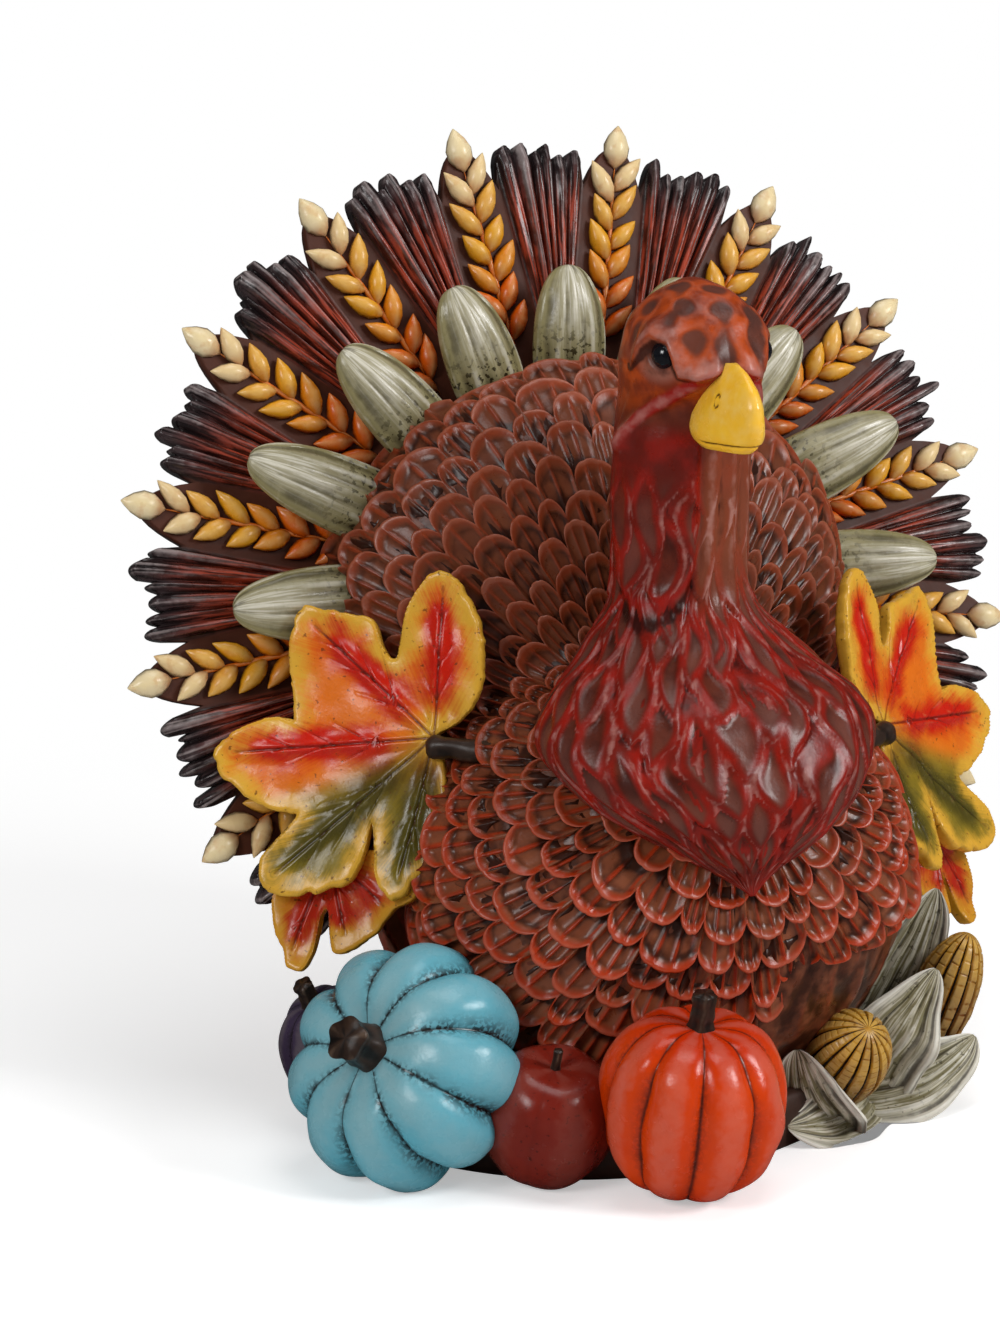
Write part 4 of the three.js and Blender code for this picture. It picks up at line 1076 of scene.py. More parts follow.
def neck_feathers(loops, turn, rise, run, bend):
    """Feathers of the bib, and over them those of the neck, whose lowest row hangs at the collar.

    Gives where the neck's show, and the four values of facets for whichever show.
    """
    sway = 0.12 * noise(loops, 12.0, SEED + 1)
    collar = np.ceil(2 * np.interp(COLLAR, rise[:, 0], run[:, 0]) / NECK_FACET_LENGTH)
    bib = facets(turn / 360 * BIB_FACETS + 0.3 * bend, run / BIB_FACET_LENGTH + sway, BIB_FACETS, SEED)
    turns = turn / 360 * NECK_FACETS + 0.2 * bend
    neck = facets(turns, run / NECK_FACET_LENGTH + sway, NECK_FACETS, SEED + 3, collar)
    on_neck = np.isfinite(neck[0])
    return on_neck, *(np.where(on_neck, b, a) for a, b in zip(bib, neck))


def from_crown_spots(loops):
    """Uneven distance to the nearest spot of the crown, whose places lie on the head's ellipsoid."""
    lift = np.sqrt(1 - ((CROWN_SPOTS[:, 1] - HEAD_MIDDLE[1]) / HEAD_RADII[2]) ** 2)
    across, before = turned(lift, CROWN_SPOTS[:, 0])
    spots = grid(across * HEAD_RADII[0], -HEAD_MIDDLE[0] - before * HEAD_RADII[1], CROWN_SPOTS[:, 1])
    reach = [np.linalg.norm((loops - spot) * (1, 1, 0.6), axis=-1) for spot in spots]
    return np.min(reach, axis=0) + 1.5 * noise(loops, 3.4, SEED)


def face_forms(signed, rise):
    """Height over the brow's line, brow, cheek fold and distance from the eye, for turns and heights.

    Brow and fold are bells of the distance to a broken line on the face. The brow falls off sharply
    below its line, and is lower on the far side.
    """
    u = np.abs(signed) * FACE_ARC
    eye_height = HEAD_MIDDLE[1] + EYE_RISE
    from_eye = np.hypot((u - EYE_ANGLE * FACE_ARC) / 1.15, rise - eye_height)
    over = rise - np.interp(u, *np.transpose(BROW_LINE))
    near = np.where(over > 0, 1, -1) * away(u, rise, BROW_LINE)
    brow = np.where(near > 0, hump(near, 3.8), hump(near, 0.9)) * ease(u, 25, 19) * ease(u, -1, 5)
    brow = brow * mix(1, FAR_BROW, ease(signed, 15, 40))
    return near, brow, hump(away(u, rise, CHEEK_FOLD), FOLD_WIDTH), from_eye


def wattle_forms(signed, rise):
    """Wattle, the shadow under it and its red hem: raised inside a half ellipse beside the throat."""
    lobe = (signed - WATTLE_ANGLE) / WATTLE_HALF_ANGLE
    end = WATTLE_FOOT - WATTLE_DROP * np.sqrt(np.maximum(0, 1 - lobe * lobe))
    side = ease(np.abs(lobe), 1.1, 0.85)
    wattle = ease(rise, end - 2.5, end + 4) * side * ease(rise, *WATTLE_TOP)
    return wattle, hump(rise - end + 1.6, 1.8) * side, hump(rise - end - 1.8, 1.6) * side


def head_and_neck():
    """Head, neck and bib: ellipses along the profile, raised along their normals.

    Lens feathers overlap downwards, and a row of larger ones on the neck hangs over the bib. The
    face, wattle and throat are raised on it, and the socket and lid are bells of the way from the eye.
    """
    front, rise, half_width, half_depth = head_profile()[:, :, None]
    turn = steps(HEAD_COLUMNS)
    side, ahead = turned(1.0, turn)
    loops = grid(half_width * side, -front - half_depth * ahead, rise + 0 * turn)
    run = np.cumsum(np.hypot(np.gradient(rise[:, 0]), np.gradient(half_width[:, 0])))[:, None]
    bend = noise(loops, 10.0, SEED)
    on_neck, lap, island, lower, tone = neck_feathers(loops, turn, rise, run, bend)
    below = ease(rise, *FEATHER_END)
    plain = ease(rise, *SMOOTH_CHEEK)
    signed = (turn + 180) % 360 - 180
    near, brow, fold, from_eye = face_forms(signed, rise)
    under_brow = ease(near, 0.4, -1.2)
    lid = hump(from_eye - LID_RADIUS, 0.7) * under_brow
    socket = hump(from_eye, SOCKET_WIDTH) * under_brow
    wattle, under, hem = wattle_forms(signed, rise)
    ragged = signed + 6 * bend
    throat = ease(ragged, *THROAT_LEFT) * ease(ragged, *THROAT_RIGHT)
    throat = throat * ease(rise, *THROAT_FOOT) * ease(rise, *THROAT_TOP)
    cords = np.cos(np.radians(signed * THROAT_CORDS) + 0.9 * bend) * throat
    from_spot = from_crown_spots(loops)
    spot = ease(from_spot, 2.9, 1.5) * ease(near, -0.5, 1.5)
    bumps = BROW_HEIGHT * brow + FOLD_HEIGHT * fold + LID_HEIGHT * lid - SOCKET_DEPTH * socket
    bumps = bumps + WATTLE_HEIGHT * wattle + CORD_HEIGHT * cords
    bumps = bumps + ease(near, 0, 3) * 0.6 * noise(loops, 5.0, SEED) - 0.12 * spot
    carved = below * (1 - 0.7 * plain) * (1 - 0.8 * throat)
    carved = carved * mix(0.55, 1.0, ease(rise, *FULL_CARVING)) * ease(run, 2, 16)
    bumps = bumps + BIB_LUMPS * noise(loops, 15.0, SEED + 2) * ease(rise, *LUMPS_END) * ease(run, 0, 12)
    loops = swell(loops, bumps + carved * FACET_DEPTH * (lap - 0.85 + 0.4 * on_neck))
    # Relief of the paint: lighter on the brow, cheek fold and throat cords, painted shade in the eye
    # socket, a painted shadow under the wattle.
    shade = 0.35 * brow + 0.3 * fold + 0.22 * cords - 0.55 * socket - 0.6 * under
    # Painted shadow under the brow line.
    shade = shade - 0.6 * hump(near + 1.0, 0.7)
    edge = np.maximum(ease(island, 0.15, 0.85), ease(run, 16, 5))
    # Painted highlight along the feathers' edges, and painted shade at the top of each face, under the
    # feather above.
    edge_highlight_and_face_shade = (0.3 * hump(island - 0.95, 0.2) - 0.4 * ease(lower, 0.2, -0.15)) * (1 - plain)
    around_eye = ease(from_eye, 7, 4.5) * under_brow * (1 - fold)
    layers = {
        "ridge": mix(np.maximum(edge, 0.3 * ease(rise, *RED_NECK)), 0.9, plain) * below,
        # Painted sheen on the lower end of each face.
        "tip": (1 - edge) * ease(lower + 0.3 * tone, 0.1, 0.7) * (1 - plain),
        "spot": spot,
        "fold": np.maximum(ease(fold, 0.25, 0.8) * ease(rise, *RED_FOLD), hem),
        "pale": np.maximum(around_eye, 0.3 * hump(from_spot - 3.1, 0.5)) * (1 - below),
        "throat": throat,
        "relief": np.clip(0.6 + shade + edge_highlight_and_face_shade, 0, 1),
    }
    return loops, layers


def eye(side):
    """Eyeball: a sphere sunk in the face, to one side of straight ahead."""
    rise, ring = latitudes(86, 26)
    x, y = turned(ring, steps(32))
    level = np.sqrt(1 - (EYE_RISE / HEAD_RADII[2]) ** 2)
    over, front = turned(level, side * EYE_ANGLE)
    centre = np.array([
        over * (HEAD_RADII[0] - EYE_SINK),
        -HEAD_MIDDLE[0] - front * (HEAD_RADII[1] - EYE_SINK),
        HEAD_MIDDLE[1] + EYE_RISE,
    ])
    return grid(x, y, rise) * EYE_RADIUS + centre, {}


def beak():
    """Short hooked beak: level ovals from the flat gape to the narrow bridge, keeled in front.

    Half width and reach follow tables over the height. The mouth is a bell across the side, and
    each nostril a groove in a ring.
    """
    rise = np.linspace(BEAK_HEIGHTS[0], BEAK_HEIGHTS[-1], 64)
    tables = [np.interp(rise, BEAK_HEIGHTS, table) for table in (BEAK_HALF_WIDTHS, BEAK_REACHES)]
    wide, reach = (softened(table, 4, 2.5)[:, None] for table in tables)
    rise = rise[:, None]
    turn = steps(120)
    side, ahead = turned(1.0, turn)
    keel = np.sign(ahead) * np.abs(ahead) ** BEAK_KEEL
    loops = grid(wide * side, -BEAK_ROOT - reach * keel, rise + 0 * side)
    mouth = hump(rise - BEAK_HEIGHTS[0] - MOUTH_RISE, 0.3) * ease(ahead, -0.3, 0.1)
    signed = np.abs((turn + 180) % 360 - 180)
    from_nostril = np.hypot((signed - NOSTRIL_ANGLE) * 0.23, (rise - NOSTRIL_HEIGHT) / 1.4)
    ring = hump(from_nostril - NOSTRIL_RADIUS, 0.3)
    lump = noise(loops, 5.0, SEED)
    loops = swell(loops, 0.25 * lump + 0.25 * hump(from_nostril, 1.6) - 0.5 * ring - 0.5 * mouth)
    return loops, {"relief": np.clip(0.82 + 0.1 * lump - 0.75 * mouth - 0.8 * ring, 0, 1)}


# Tail fan


def on_fan(across, up, out):
    """Point in the leaning frame of the fan."""
    across, up, out = np.broadcast_arrays(across, up, out)
    return FAN_HUB + grid(across, 0, 0) + up[..., None] * FAN_UP + out[..., None] * FAN_OUT


def fan_columns():
    """Columns of the fan: feather angle, place across, strand ridge, outer end and panel share.

    Each feather is split into strands at seeded places. A strand is a round ridge, the square
    root of 1 - x^2 across it, and ends in a round finger at its own reach.
    """
    chance = np.random.default_rng(SEED)
    last = (FEATHER_COUNT - 1) / 2
    parts = []
    for feather in np.arange(-last, last + 1):
        u = np.linspace(-1, 1, 66)
        cuts = np.linspace(-1, 1, STRANDS + 1)
        cuts[1:-1] += chance.uniform(-0.09, 0.09, STRANDS - 1)
        which = np.clip(np.searchsorted(cuts, u, side="right") - 1, 0, STRANDS - 1)
        x = 2 * (u - cuts[which]) / (cuts[which + 1] - cuts[which]) - 1
        ridge = np.sqrt(np.maximum(0, 1 - x * x)) * chance.uniform(0.7, 1.1, STRANDS)[which]
        jag = chance.uniform(-1, 1, STRANDS)[which] * FEATHER_JAG
        end = FEATHER_REACH + jag - FEATHER_ROUND * u * u - STRAND_ROUND * x * x
        parts.append(np.stack([feather + 0 * u, u, ridge, end, 0 * u]))
        if feather < last:
            p = np.linspace(-1, 1, 16)[1:-1]
            end = PANEL_REACH - PANEL_ROUND * p * p
            parts.append(np.stack([feather + 0.5 + 0 * p, p, 0 * p, end, 1 + 0 * p]))
    return np.concatenate(parts, axis=1)


def tail_fan():
    """Fan plate: polar grid of strands and panels in front, the plain back, and the foot below."""
    feather, u, ridge, end, panel = fan_columns()
    drop = (FAN_HUB[2] - BASE_HEIGHT - FAN_GAP) / FAN_UP[2]
    edge = FEATHER_ANGLE * (FEATHER_COUNT - 1) / 2 + 4
    foot = np.linspace(edge, 360 - edge, 42)[1:-1]
    side, down = turned(1.0, foot)
    foot_end = np.minimum(TANG_HALF_WIDTH / np.abs(side), drop / np.abs(down))
    is_foot = np.append(0 * end, 1 + 0 * foot) > 0
    fixed = np.append(0 * end, foot)
    feather, u, ridge, panel = (np.append(v, 0 * foot) for v in (feather, u, ridge, panel))
    end = np.append(end, foot_end)
    share = np.append(np.linspace(0, 0.88, 36), np.linspace(0.9, 1, 8))
    front = np.arange(len(share) + BACK_ROWS)[:, None] < len(share)
    share = np.append(share, np.linspace(1, 0, BACK_ROWS))[:, None]
    radius = mix(np.minimum(FLUTE_START, end * 0.9), end, share)
    wide = np.degrees(PANEL_HALF_WIDTH / np.maximum(radius, FLUTE_START))
    half = np.where(panel > 0, wide, FEATHER_ANGLE / 2 - wide)
    angle = np.where(is_foot, fixed, feather * FEATHER_ANGLE + u * half)
    across, up = turned(radius, angle)
    fibre = noise(grid(u * 40 + feather * 31, radius * 0.08, 0 * radius), 1.4, SEED)
    rise = ease(radius, FLUTE_START - 2, FLUTE_START + 20) * (1 - 0.2 * u * u)
    tip = 1 - 0.5 * ease(share, 0.9, 1.0)
    flute = FLUTE_HEIGHT * ridge * rise * tip + 0.35 * fibre * (ridge > 0)
    back = mix(FAN_THICKNESS, FEATHER_EDGE, share) + 0.4 * flute * (1 - share)
    loops = on_fan(across, up, np.where(front, flute, -back))
    layers = {
        "along": share,
        "across": u + 3 * feather,
        "panel": panel + 0 * share,
        "relief": np.where(panel > 0, 0.55, np.clip(0.15 + 0.75 * ridge + 0.25 * fibre, 0, 1)),
    }
    return loops, layers


def grain(root, heading, size, lift):
    """Almond-shaped grain, flat below: its width follows the sine of pi s^0.85 along its length.

    Gives its loops, and the layers for its crest and for the way along it.
    """
    length, half_width, thick = size
    s = GRAIN_ROWS[:, None]
    width = np.sin(np.pi * s ** 0.85) ** 0.9
    side, up = turned(1.0, steps(8))
    along = s * length + 0 * side
    beside = side * half_width * width
    out = GRAIN_SEAT + lift * s + thick * width * np.where(up > 0, up, 0.1 * up)
    dx, dy = turned(1.0, heading)
    across = root[0] + dx * along + dy * beside
    loops = on_fan(across, root[1] + dy * along - dx * beside, out)
    return loops, {"relief": np.clip(0.2 + 0.8 * up, 0, 1), "outer": s}


def wheat_ear(angle):
    """Ear of wheat on its panel: pairs of slanted grains along the axis, and a tip grain."""
    chance = np.random.default_rng(SEED + int(360 + angle))
    tip_root = EAR_REACH - TIP_GRAIN_LENGTH
    pitch = (tip_root - EAR_ROOT) / GRAIN_PAIRS
    stalk_length = tip_root - EAR_ROOT + sum(EAR_STALK_LAPS)
    stalk_size = (stalk_length, EAR_STALK_HALF_WIDTH, EAR_STALK_HEIGHT)
    tip_size = (TIP_GRAIN_LENGTH, TIP_GRAIN_HALF_WIDTH, GRAIN_HEIGHT)
    made = [
        (grain(turned(EAR_ROOT - EAR_STALK_LAPS[0], angle), angle, stalk_size, 0), 0.2),
        (grain(turned(tip_root, angle), angle, tip_size, TIP_GRAIN_LIFT), 1.0),
    ]
    for pair in range(GRAIN_PAIRS):
        for side in (-1, 1):
            size = np.array([GRAIN_LENGTH, GRAIN_HALF_WIDTH, GRAIN_HEIGHT]) * chance.uniform(0.92, 1.06, 3)
            root = turned(EAR_ROOT + pitch * (pair + 0.2 * side), angle)
            heading = angle + side * (GRAIN_ANGLE + chance.uniform(-5, 5))
            made.append((grain(root, heading, size, GRAIN_LIFT), pair / GRAIN_PAIRS))
    return [(loops, {**layers, "along": ripe}) for (loops, layers), ripe in made]


# Blades


def blade(curve, face, half_width, half_thickness, cup, blunt, ribs, crumple):
    """Cupped, ribbed strip along a quadratic curve, with a blunt point.

    Width follows a power of a sine along it. Ribs are cosines across its front, and the whole
    strip is crumpled by noise.
    """
    root, bend, tip = (np.asarray(p, float) for p in curve)
    t = np.linspace(0, 0.995, 60)[:, None, None]
    centre = (1 - t) ** 2 * root + 2 * t * (1 - t) * bend + t * t * tip
    heading = unit(2 * (1 - t) * (bend - root) + 2 * t * (tip - bend))
    across = unit(np.cross(heading, unit(face)))
    out = np.cross(across, heading)
    t = t[..., 0]
    taper = np.sin(np.pi * mix(BLADE_START, 1, t)) ** blunt
    turn = steps(72)
    side, up = turned(1.0, turn)
    rough = noise(grid(side * 4, t * 5 + half_width, 0 * side), 1.0, SEED)
    wave = np.cos(np.pi * ribs * side + 1.2 * rough) * (np.abs(side) < 0.97)
    folds = noise(grid(side * 1.2, t * 5 + half_width, 0 * side), 1.0, SEED + 5)
    lift = up * half_thickness * taper - cup * side * side * taper
    lift = lift + np.sign(up) * taper * (BLADE_RIB * wave + BLADE_ROUGH * rough)
    lift = lift + crumple * folds * side * side * taper
    reach = side * half_width * taper * (1 + 0.08 * crumple * folds)
    loops = centre + across * reach[..., None] + out * lift[..., None]
    layers = {
        "across": side + half_width,
        "along": t,
        "edge": np.abs(side) + 0 * t,
        "relief": np.clip(0.55 + 0.35 * wave + 0.3 * rough, 0, 1),
    }
    return loops, layers


def petal(place):
    """Husk petal in front of the fan, rising from its root to a level tip."""
    angle = place * PETAL_ANGLE
    reach = PETAL_REACH + PETAL_SIDE_REACH * min(1, (abs(place) / 3) ** 2)
    low, high = PETAL_LIFTS
    spots = [(PETAL_ROOT, low), (mix(PETAL_ROOT, reach, 0.6), high), (reach, high)]
    curve = [on_fan(*turned(radius, angle), lift) for radius, lift in spots]
    size = (PETAL_HALF_WIDTH, PETAL_HALF_THICKNESS)
    loops, layers = blade(curve, FAN_OUT, *size, cup=0.8, blunt=0.42, ribs=4, crumple=0.0)
    return before_fan(loops, FAN_GAP), layers


def husk(name):
    """Corn husk standing round a cob."""
    curve, face, half_width = HUSKS[name]
    size = (half_width, HUSK_HALF_THICKNESS)
    loops, layers = blade(curve, face, *size, cup=-2.2, blunt=0.6, ribs=7, crumple=2.0)
    return above(loops, 0), layers


# Leaves


def leaf_outline(form):
    """Margin of a leaf: a smooth cubic curve through its outline, with small nicks of noise."""
    line = closed_curve(np.array(form["outline"], float), 10)
    spot = np.column_stack([line, 0 * line[:, 0]])
    nick = 1 + 0.015 * noise(spot, 3.0, SEED) + 0.012 * noise(spot, 1.3, SEED)
    return form["hub"] + (line - form["hub"]) * nick[:, None]


def leaf_frame(side):
    """Directions of a leaf on one side: outward from the body, upward, and out of its face."""
    over, ahead = turned(1.0, LEAF_ANGLE)
    rise, level = turned(1.0, LEAF_TILT)
    outward = np.array([side * ahead, over, 0])
    face = np.array([side * over * level, -ahead * level, rise])
    return outward, np.cross(outward, face) * -side, face


def from_twigs(x, y, start, ends, count):
    """Distance to the nearest twig, more towards its tip: twigs fork off both sides of each vein."""
    chance = np.random.default_rng(SEED)
    nearest = np.full(x.shape, np.inf)
    for end in ends:
        heading = np.degrees(np.arctan2(*(end - start)))
        far = np.linalg.norm(end - start)
        for part, way in itertools.product(np.linspace(0.3, 0.75, count), (-1, 1)):
            fork = mix(start, end, part + chance.uniform(-0.06, 0.06))
            length = far * (0.45 - 0.36 * part) * chance.uniform(0.6, 1.15)
            stop = fork + np.array(turned(length, heading + way * chance.uniform(18, 32)))
            thin = 0.25 * np.hypot(x - fork[0], y - fork[1]) / length
            nearest = np.minimum(nearest, away(x, y, [fork, stop]) + thin)
    return nearest


def leaf(form, joint, side):
    """Leaf: rings between its middle and its margin, front and back, cupped and veined.

    Veins are fine grooves, bells across lines from the joint to each lobe and from there to its
    sides. A lobe's own colour fades into the next by the shares of e to the power -distance.
    """
    outward, upward, face = leaf_frame(side)
    line = leaf_outline(form)
    hub = np.array(form["hub"], float)
    front = np.linspace(0.03, 1, 60) ** 0.85
    share = np.concatenate([front, [1.012, 1.012, 1], [0.85, 0.6, 0.3, 0.08]])[:, None]
    level = np.concatenate([front * 0 + 1, [0.5, -0.5], [-1, -1, -1, -1, -1]])[:, None]
    flat = hub + (line - hub) * share[..., None]
    x, y = flat[..., 0], flat[..., 1]
    start = np.array(form["veins"][0], float)
    ends = np.array(form["veins"][1:], float)
    ways = np.stack([away(x, y, [start, end]) for end in ends])
    vein, nearest = ways.min(axis=0), ways.argmin(axis=0)
    from_start = np.hypot(x - start[0], y - start[1])
    out_along = from_start / np.linalg.norm(ends - start, axis=1)[nearest]
    twigs = from_twigs(x, y, start, ends, form["twigs"])
    gaps = flat[:, :, None, :] - line[None, None, ::2, :]
    rim = np.sqrt((gaps ** 2).sum(axis=-1).min(axis=-1))
    longest = np.linalg.norm(line - hub, axis=1).max()
    cup = LEAF_CUP * (np.hypot(x - hub[0], y - hub[1]) / longest) ** 2
    top = level > 0.9
    ribs = hump(vein, 1.6) * ease(out_along, 1.05, 0.75)
    twig = hump(twigs, TWIG_WIDTH)
    dents = VEIN_DEPTH * hump(vein, 0.4) * ease(out_along, 1.05, 0.9) + TWIG_DEPTH * twig
    dish = 0.25 * ease(rim, 5.0, 1.0) - 0.35 * hump(rim, 0.4)
    wave = LEAF_WAVE * noise(grid(x, y, 0 * x), 7.0, SEED)
    out = level * LEAF_THICKNESS / 2 + cup + top * (dish + LEAF_RIB_HEIGHT * ribs + wave - dents)
    place = joint + x[..., None] * outward + y[..., None] * upward + out[..., None] * face
    weight = np.exp(-ways / LOBE_FADE)
    layers = {
        "rim": np.where(top, rim, 0.0),
        "sweep": from_start - HATCH_SLANT * vein,
        "vein": np.minimum(vein + 2 * ease(out_along, 0.9, 1.1), twigs + 0.1),
        "blush": hump(vein, 5.0) * ease(out_along, 0.05, 0.35) * ease(out_along, 1.15, 0.75) * top,
        "leafy": weight[list(form["green"])].sum(axis=0) / weight.sum(axis=0),
        "relief": np.clip(0.62 + 0.2 * ribs - 0.5 * hump(vein, 0.5) - 0.35 * twig, 0, 1),
    }
    return place, layers


def stalk(start, end, radius):
    """Stalk between two places: a round bar, thinner at its end, with lumps of noise."""
    run = end - start
    t = np.linspace(0, 1, 30)[:, None]
    side, front = turned(radius * mix(1, 0.8, t) * np.sqrt(np.minimum(1, 12 * t + 0.05)), steps(32))
    loops = grid(side, front, t * np.linalg.norm(run) + 0 * side)
    lump = noise(loops, 2.2, SEED)
    return laid(swell(loops, 0.35 * lump), start, run), {"relief": 0.5 + 0.4 * lump}


# Fruit and corn


def fruit_centre(form):
    """Middle of a fruit that stands on the floor, sunk by its worn flat."""
    axis = unit(form.lean)
    reach = np.hypot(form.radius * np.hypot(axis[0], axis[1]), form.half_height * axis[2])
    return np.array([*form.place, reach - FRUIT_FLAT])


def fruit(form):
    """Ribbed fruit: latitudes round its axis, pinched along grooves and dimpled at its ends.

    The ribs follow the sine of the turn, and the dimple is a bell round the axis.
    """
    rise, ring = latitudes(88, 84)
    turn = steps(form.ribs * RIB_COLUMNS)
    crest = np.abs(np.sin(np.radians(turn * form.ribs / 2)))
    dip = form.dimple * hump(ring, 0.4) * np.sign(rise)
    across = form.radius * (1 - form.groove * (1 - crest) ** 1.5) * ring ** 0.85
    loops = grid(*turned(across, turn), (rise - dip) * form.half_height)
    loops = swell(loops, FRUIT_LUMPS * noise(loops, 7.0, SEED))
    loops = above(laid(loops, fruit_centre(form), form.lean), 0)
    return loops, {"relief": 0.15 + 0.85 * crest ** 0.7, "end": np.abs(rise) + 0 * crest}


def stem(form):
    """Stem: a flared foot and a cut end on a ribbed, knotted bar."""
    length, radius = form.stem_length, form.stem_radius
    t = np.linspace(0, 1, 40)[:, None]
    flare = 0.88 + 0.62 * (1 - t) ** 3 + 0.1 * ease(t, 0.7, 0.95) - 0.9 * ease(t, 0.975, 1.0)
    turn = steps(48)
    rib = np.cos(np.radians(turn * STEM_RIBS) + 1.5 * t)
    loops = grid(*turned(radius * flare * (1 + 0.08 * rib), turn), t * length)
    lump = noise(loops, max(1.0, radius * 0.6), SEED)
    loops = swell(loops, 0.1 * radius * lump)
    sunk = (1 - form.dimple) * form.half_height - STEM_SEAT * length
    foot = fruit_centre(form) + sunk * unit(form.lean)
    return laid(loops, foot, form.lean), {"relief": np.clip(0.5 + 0.3 * rib + 0.3 * lump, 0, 1)}


def cob(name):
    """Corn cob: a dome with rows of kernels, flat bands between lines along it and lines across it."""
    tip, lean, radius, length, rows, pitch = COBS[name]
    t = np.append(np.linspace(0, 0.7, 60), np.linspace(0.71, 0.998, 60))[:, None]
    dome = np.sqrt(np.maximum(0, 1 - (np.maximum(0, t - (1 - COB_DOME)) / COB_DOME) ** 2.2))
    wide = radius * mix(0.8, 1.0, ease(t, 0, 0.5)) * dome
    turn = steps(rows * 14)
    line = np.abs(np.sin(np.radians(turn * rows / 2)))
    split = np.floor(turn * rows / 360) % 2 * 0.5
    loops = grid(*turned(wide, turn), t * length)
    cross = np.abs(np.sin(np.pi * (t * length / pitch + split + 0.25 * noise(loops, 3.0, SEED))))
    kernel = ease(line, 0.12, 0.6) * ease(cross, -0.35, 0.3)
    loops = swell(loops, KERNEL_DEPTH * (kernel - 1) * ease(t, 1.0, 0.94) + 0.2 * noise(loops, 4.0, SEED))
    foot = np.array(tip) - length * unit(lean)
    return above(laid(loops, foot, lean), 0), {"relief": kernel, "along": t}


def plinth():
    """Plinth: a smooth closed curve through eight places, carried up over a rounded edge."""
    line = closed_curve(np.array([
        (0, -BASE_FRONT),
        (-0.6 * BASE_LEFT, -0.85 * BASE_FRONT),
        (-BASE_LEFT, 0),
        (-0.86 * BASE_LEFT, 0.55 * BASE_BACK),
        (0, BASE_BACK),
        (0.86 * BASE_RIGHT, 0.6 * BASE_BACK),
        (BASE_RIGHT, 0.1 * BASE_BACK),
        (0.72 * BASE_RIGHT, -0.42 * BASE_FRONT),
    ]), 20)
    share = np.array([0.3, 0.7, 0.97, 0.985, 0.99, 0.995, 0.985, 0.96, 0.85, 0.5, 0.2])[:, None]
    level = np.array([0, 0, 0, 0.06, 0.35, 0.7, 0.92, 1, 1, 1, 1])[:, None] * BASE_HEIGHT
    return grid(line[:, 0] * share, line[:, 1] * share, level), {}


# Pieces

rings = [scale_ring(ring) for ring in range(SCALE_RINGS)]
piece("breast", ["body"], PLUMAGE, [body_core()])
for word, (inner, outer) in SCALE_GROUPS.items():
    piece(f"scale_feathers_{word}", ["body"], PLUMAGE, rings[inner:outer], ring=True)
piece("back_feathers", ["rump"], PLUMAGE, [rump_back()])
piece("head_neck_and_bib", ["head_and_neck"], NECK, [head_and_neck()])
piece("yellow_beak", ["beak"], BEAK, [beak()])
piece("feather_fan", ["tail_fan"], TAIL, [tail_fan()])
piece("plinth", ["base_plinth"], BASE, [plinth()])
for i in range(FEATHER_COUNT - 1):
    angle = (i + 0.5 - (FEATHER_COUNT - 1) / 2) * FEATHER_ANGLE
    piece(f"ear_of_wheat_{i + 1}", [f"wheat_ear_{i + 1}"], WHEAT, wheat_ear(angle))
for i in range(PETAL_COUNT):
    place = i - (PETAL_COUNT - 1) / 2
    piece(f"green_petal_{i + 1}", [f"husk_petal_{i + 1}"], PETAL, [petal(place)])
for word, spot in LEAF_SIDES.items():
    side = spot["side"]
    joint = on_body(spot["joint"][0], side * spot["joint"][1], LEAF_STANDOFF)
    foot = on_body(spot["foot"][0], side * spot["foot"][1], -STALK_SEAT)
    small = on_body(spot["small"][0], side * spot["small"][1], LEAF_THICKNESS / 2)
    outward, _, face = leaf_frame(side)
    start = joint + face * (LEAF_THICKNESS + STALK_RADIUS) / 2 + outward * STALK_LAP
    big = [leaf(BIG_LEAF, joint, side)]
    piece(f"leaf_{word}", [f"maple_leaf_{word}"], BIG_LEAF_PAINT, big)
    low = [leaf(SMALL_LEAF, small, side)]
    piece(f"lower_leaf_{word}", [f"small_leaf_{word}"], SMALL_LEAF_PAINT, low)
    bar = [stalk(start, foot, STALK_RADIUS)]
    piece(f"stalk_{word}", [f"leaf_stalk_{word}"], STEM, bar)
    piece(f"{word}_eye", [f"eye_{word}"], EYE, [eye(side)])
for name, (slot, paint) in FRUIT_FINISH.items():
    piece(f"{name}_flesh", [name], paint, [fruit(FRUIT[name])])
    piece(f"{name}_top", [f"{name}_stem"], STEM, [stem(FRUIT[name])])
for name in COBS:
    piece(f"{name}_kernels", [name], CORN, [cob(name)])
for name in HUSKS:
    piece(f"{name}_leaf", [name], HUSK, [husk(name)])


# Studio: pale floor, two soft boxes and a top light, white surroundings

WHITE = (1, 1, 1, 1)
FLOOR_REACH = 4.0
FLOOR_WHITE = (0.93, 0.93, 0.93, 1)
FLOOR_DULL = (0.12, 0.12, 0.12, 1)
FLOOR_GLOW = 0.42
FLOOR_FADE = (0.16, 0.42)
AMBIENT = 0.2
REFLECTED = 0.06
LIGHTS = [
    ("right soft box", (560, -560, 560), 0.3, 4.8),
    ("left soft box", (-760, -420, 560), 0.3, 3.0),
    ("top light", (60, -60, 1000), 0.5, 2.4),
]
LIGHT_TARGET = Vector((0, 10, 90)) * MM
CAMERA_PLACE = Vector((-274.81, -610.25, 250.47)) * MM
CAMERA_TARGET = Vector((-30.30, 28.88, 99.13)) * MM
LENS = 84.24
SENSOR_HEIGHT = 36


def facing(thing, target):
    """Turns an object so that its -Z points at a target."""
    thing.rotation_euler = (target - thing.location).to_track_quat("-Z", "Y").to_euler()


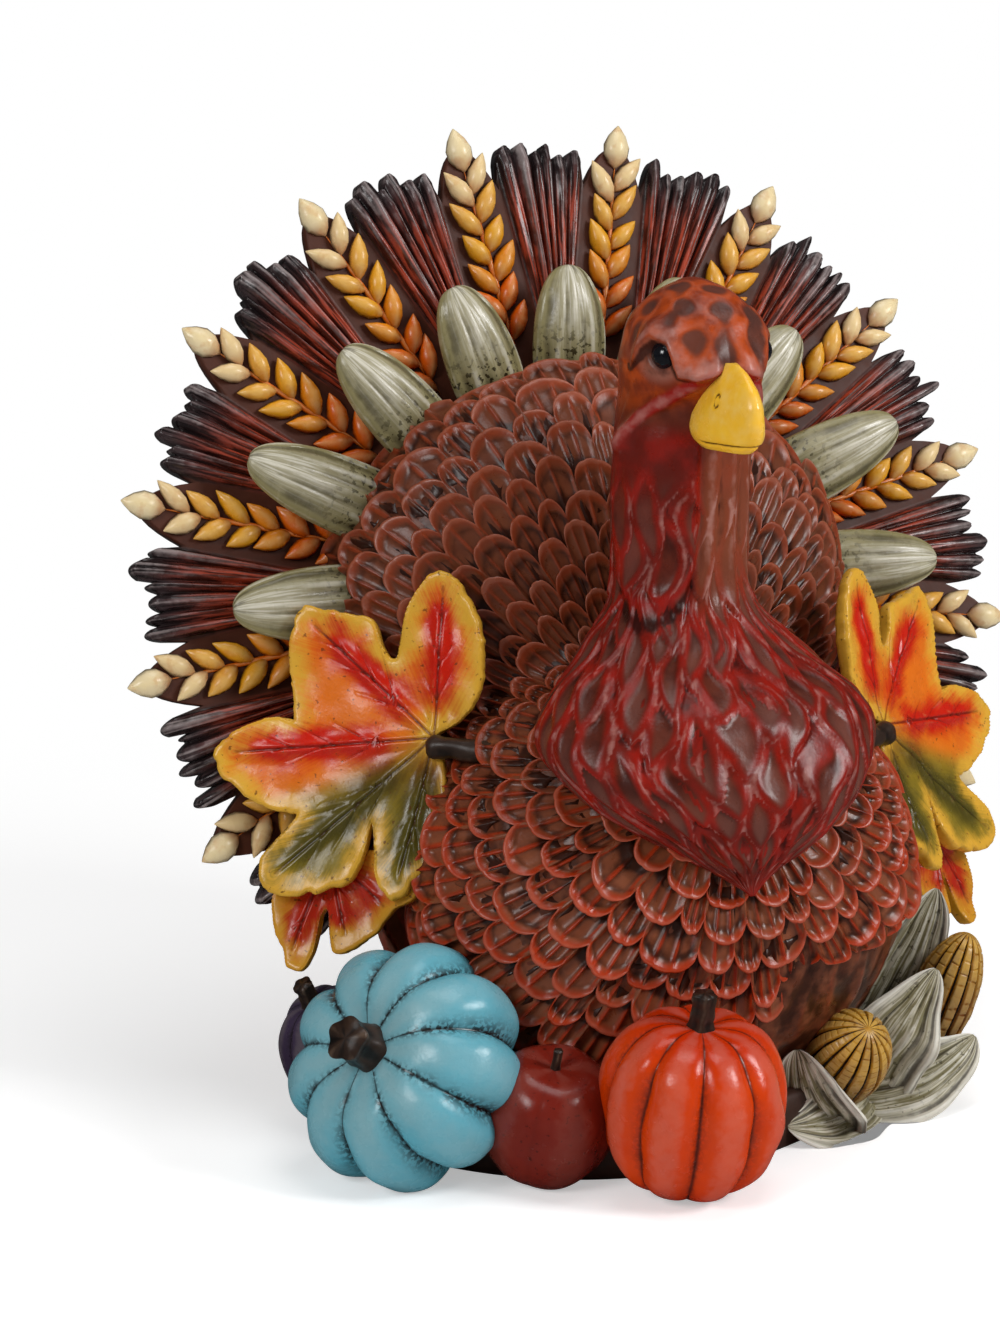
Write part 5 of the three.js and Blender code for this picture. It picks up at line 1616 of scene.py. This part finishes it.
def floor_paint():
    """Pale floor, dull in reflections. Seen straight it is lit up to white, and pure white far away."""
    material = bpy.data.materials.new("pale floor")
    material.use_nodes = True
    tree = material.node_tree
    rays = new_node(tree, "LightPath", {}).outputs
    seen = Value(rays["Is Camera Ray"])
    shader = fill(tree.nodes["Principled BSDF"], {
        "Base Color": blend(Value(rays["Is Glossy Ray"]), FLOOR_WHITE, FLOOR_DULL),
        "Roughness": 0.9,
        "Specular IOR Level": 0.0,
        "Emission Color": WHITE,
        "Emission Strength": seen * FLOOR_GLOW,
    })
    far = wire(tree, "VectorMath", "Value", {0: object_place(tree)}, operation="LENGTH")
    white = wire(tree, "Emission", 0, {"Color": WHITE, "Strength": 1.0})
    ends = {0: seen * span(far, *FLOOR_FADE), 1: Value(shader.outputs[0]), 2: white}
    fill(tree.nodes["Material Output"], {"Surface": wire(tree, "MixShader", 0, ends)})
    return material


def studio():
    """Floor, lights, surroundings and camera."""
    scene = bpy.context.scene
    mesh = bpy.data.meshes.new("floor")
    square = [(-1, -1, 0), (1, -1, 0), (1, 1, 0), (-1, 1, 0)]
    mesh.from_pydata(np.multiply(square, FLOOR_REACH).tolist(), [], [(0, 1, 2, 3)])
    floor = placed("floor", mesh)
    mesh.materials.append(floor_paint())
    for name, place, size, power in LIGHTS:
        lamp = bpy.data.lights.new(name, "AREA")
        lamp.size = size
        lamp.energy = power
        holder = placed(name, lamp)
        holder.location = Vector(place) * MM
        facing(holder, LIGHT_TARGET)
    world = bpy.data.worlds.new("surroundings")
    world.use_nodes = True
    tree = world.node_tree
    rays = new_node(tree, "LightPath", {}).outputs
    ends = {"To Min": AMBIENT, "To Max": REFLECTED}
    dim = wire(tree, "MapRange", 0, {0: Value(rays["Is Glossy Ray"]), **ends})
    level = wire(tree, "MapRange", 0, {0: Value(rays["Is Camera Ray"]), "To Min": dim, "To Max": 1.0})
    fill(tree.nodes["Background"], {"Color": WHITE, "Strength": level})
    scene.world = world
    camera = placed("camera", bpy.data.cameras.new("camera"))
    camera.location = CAMERA_PLACE
    facing(camera, CAMERA_TARGET)
    camera.data.sensor_fit = "VERTICAL"
    camera.data.sensor_height = SENSOR_HEIGHT
    camera.data.lens = LENS
    scene.camera = camera
    scene.view_settings.view_transform = "Standard"


studio()
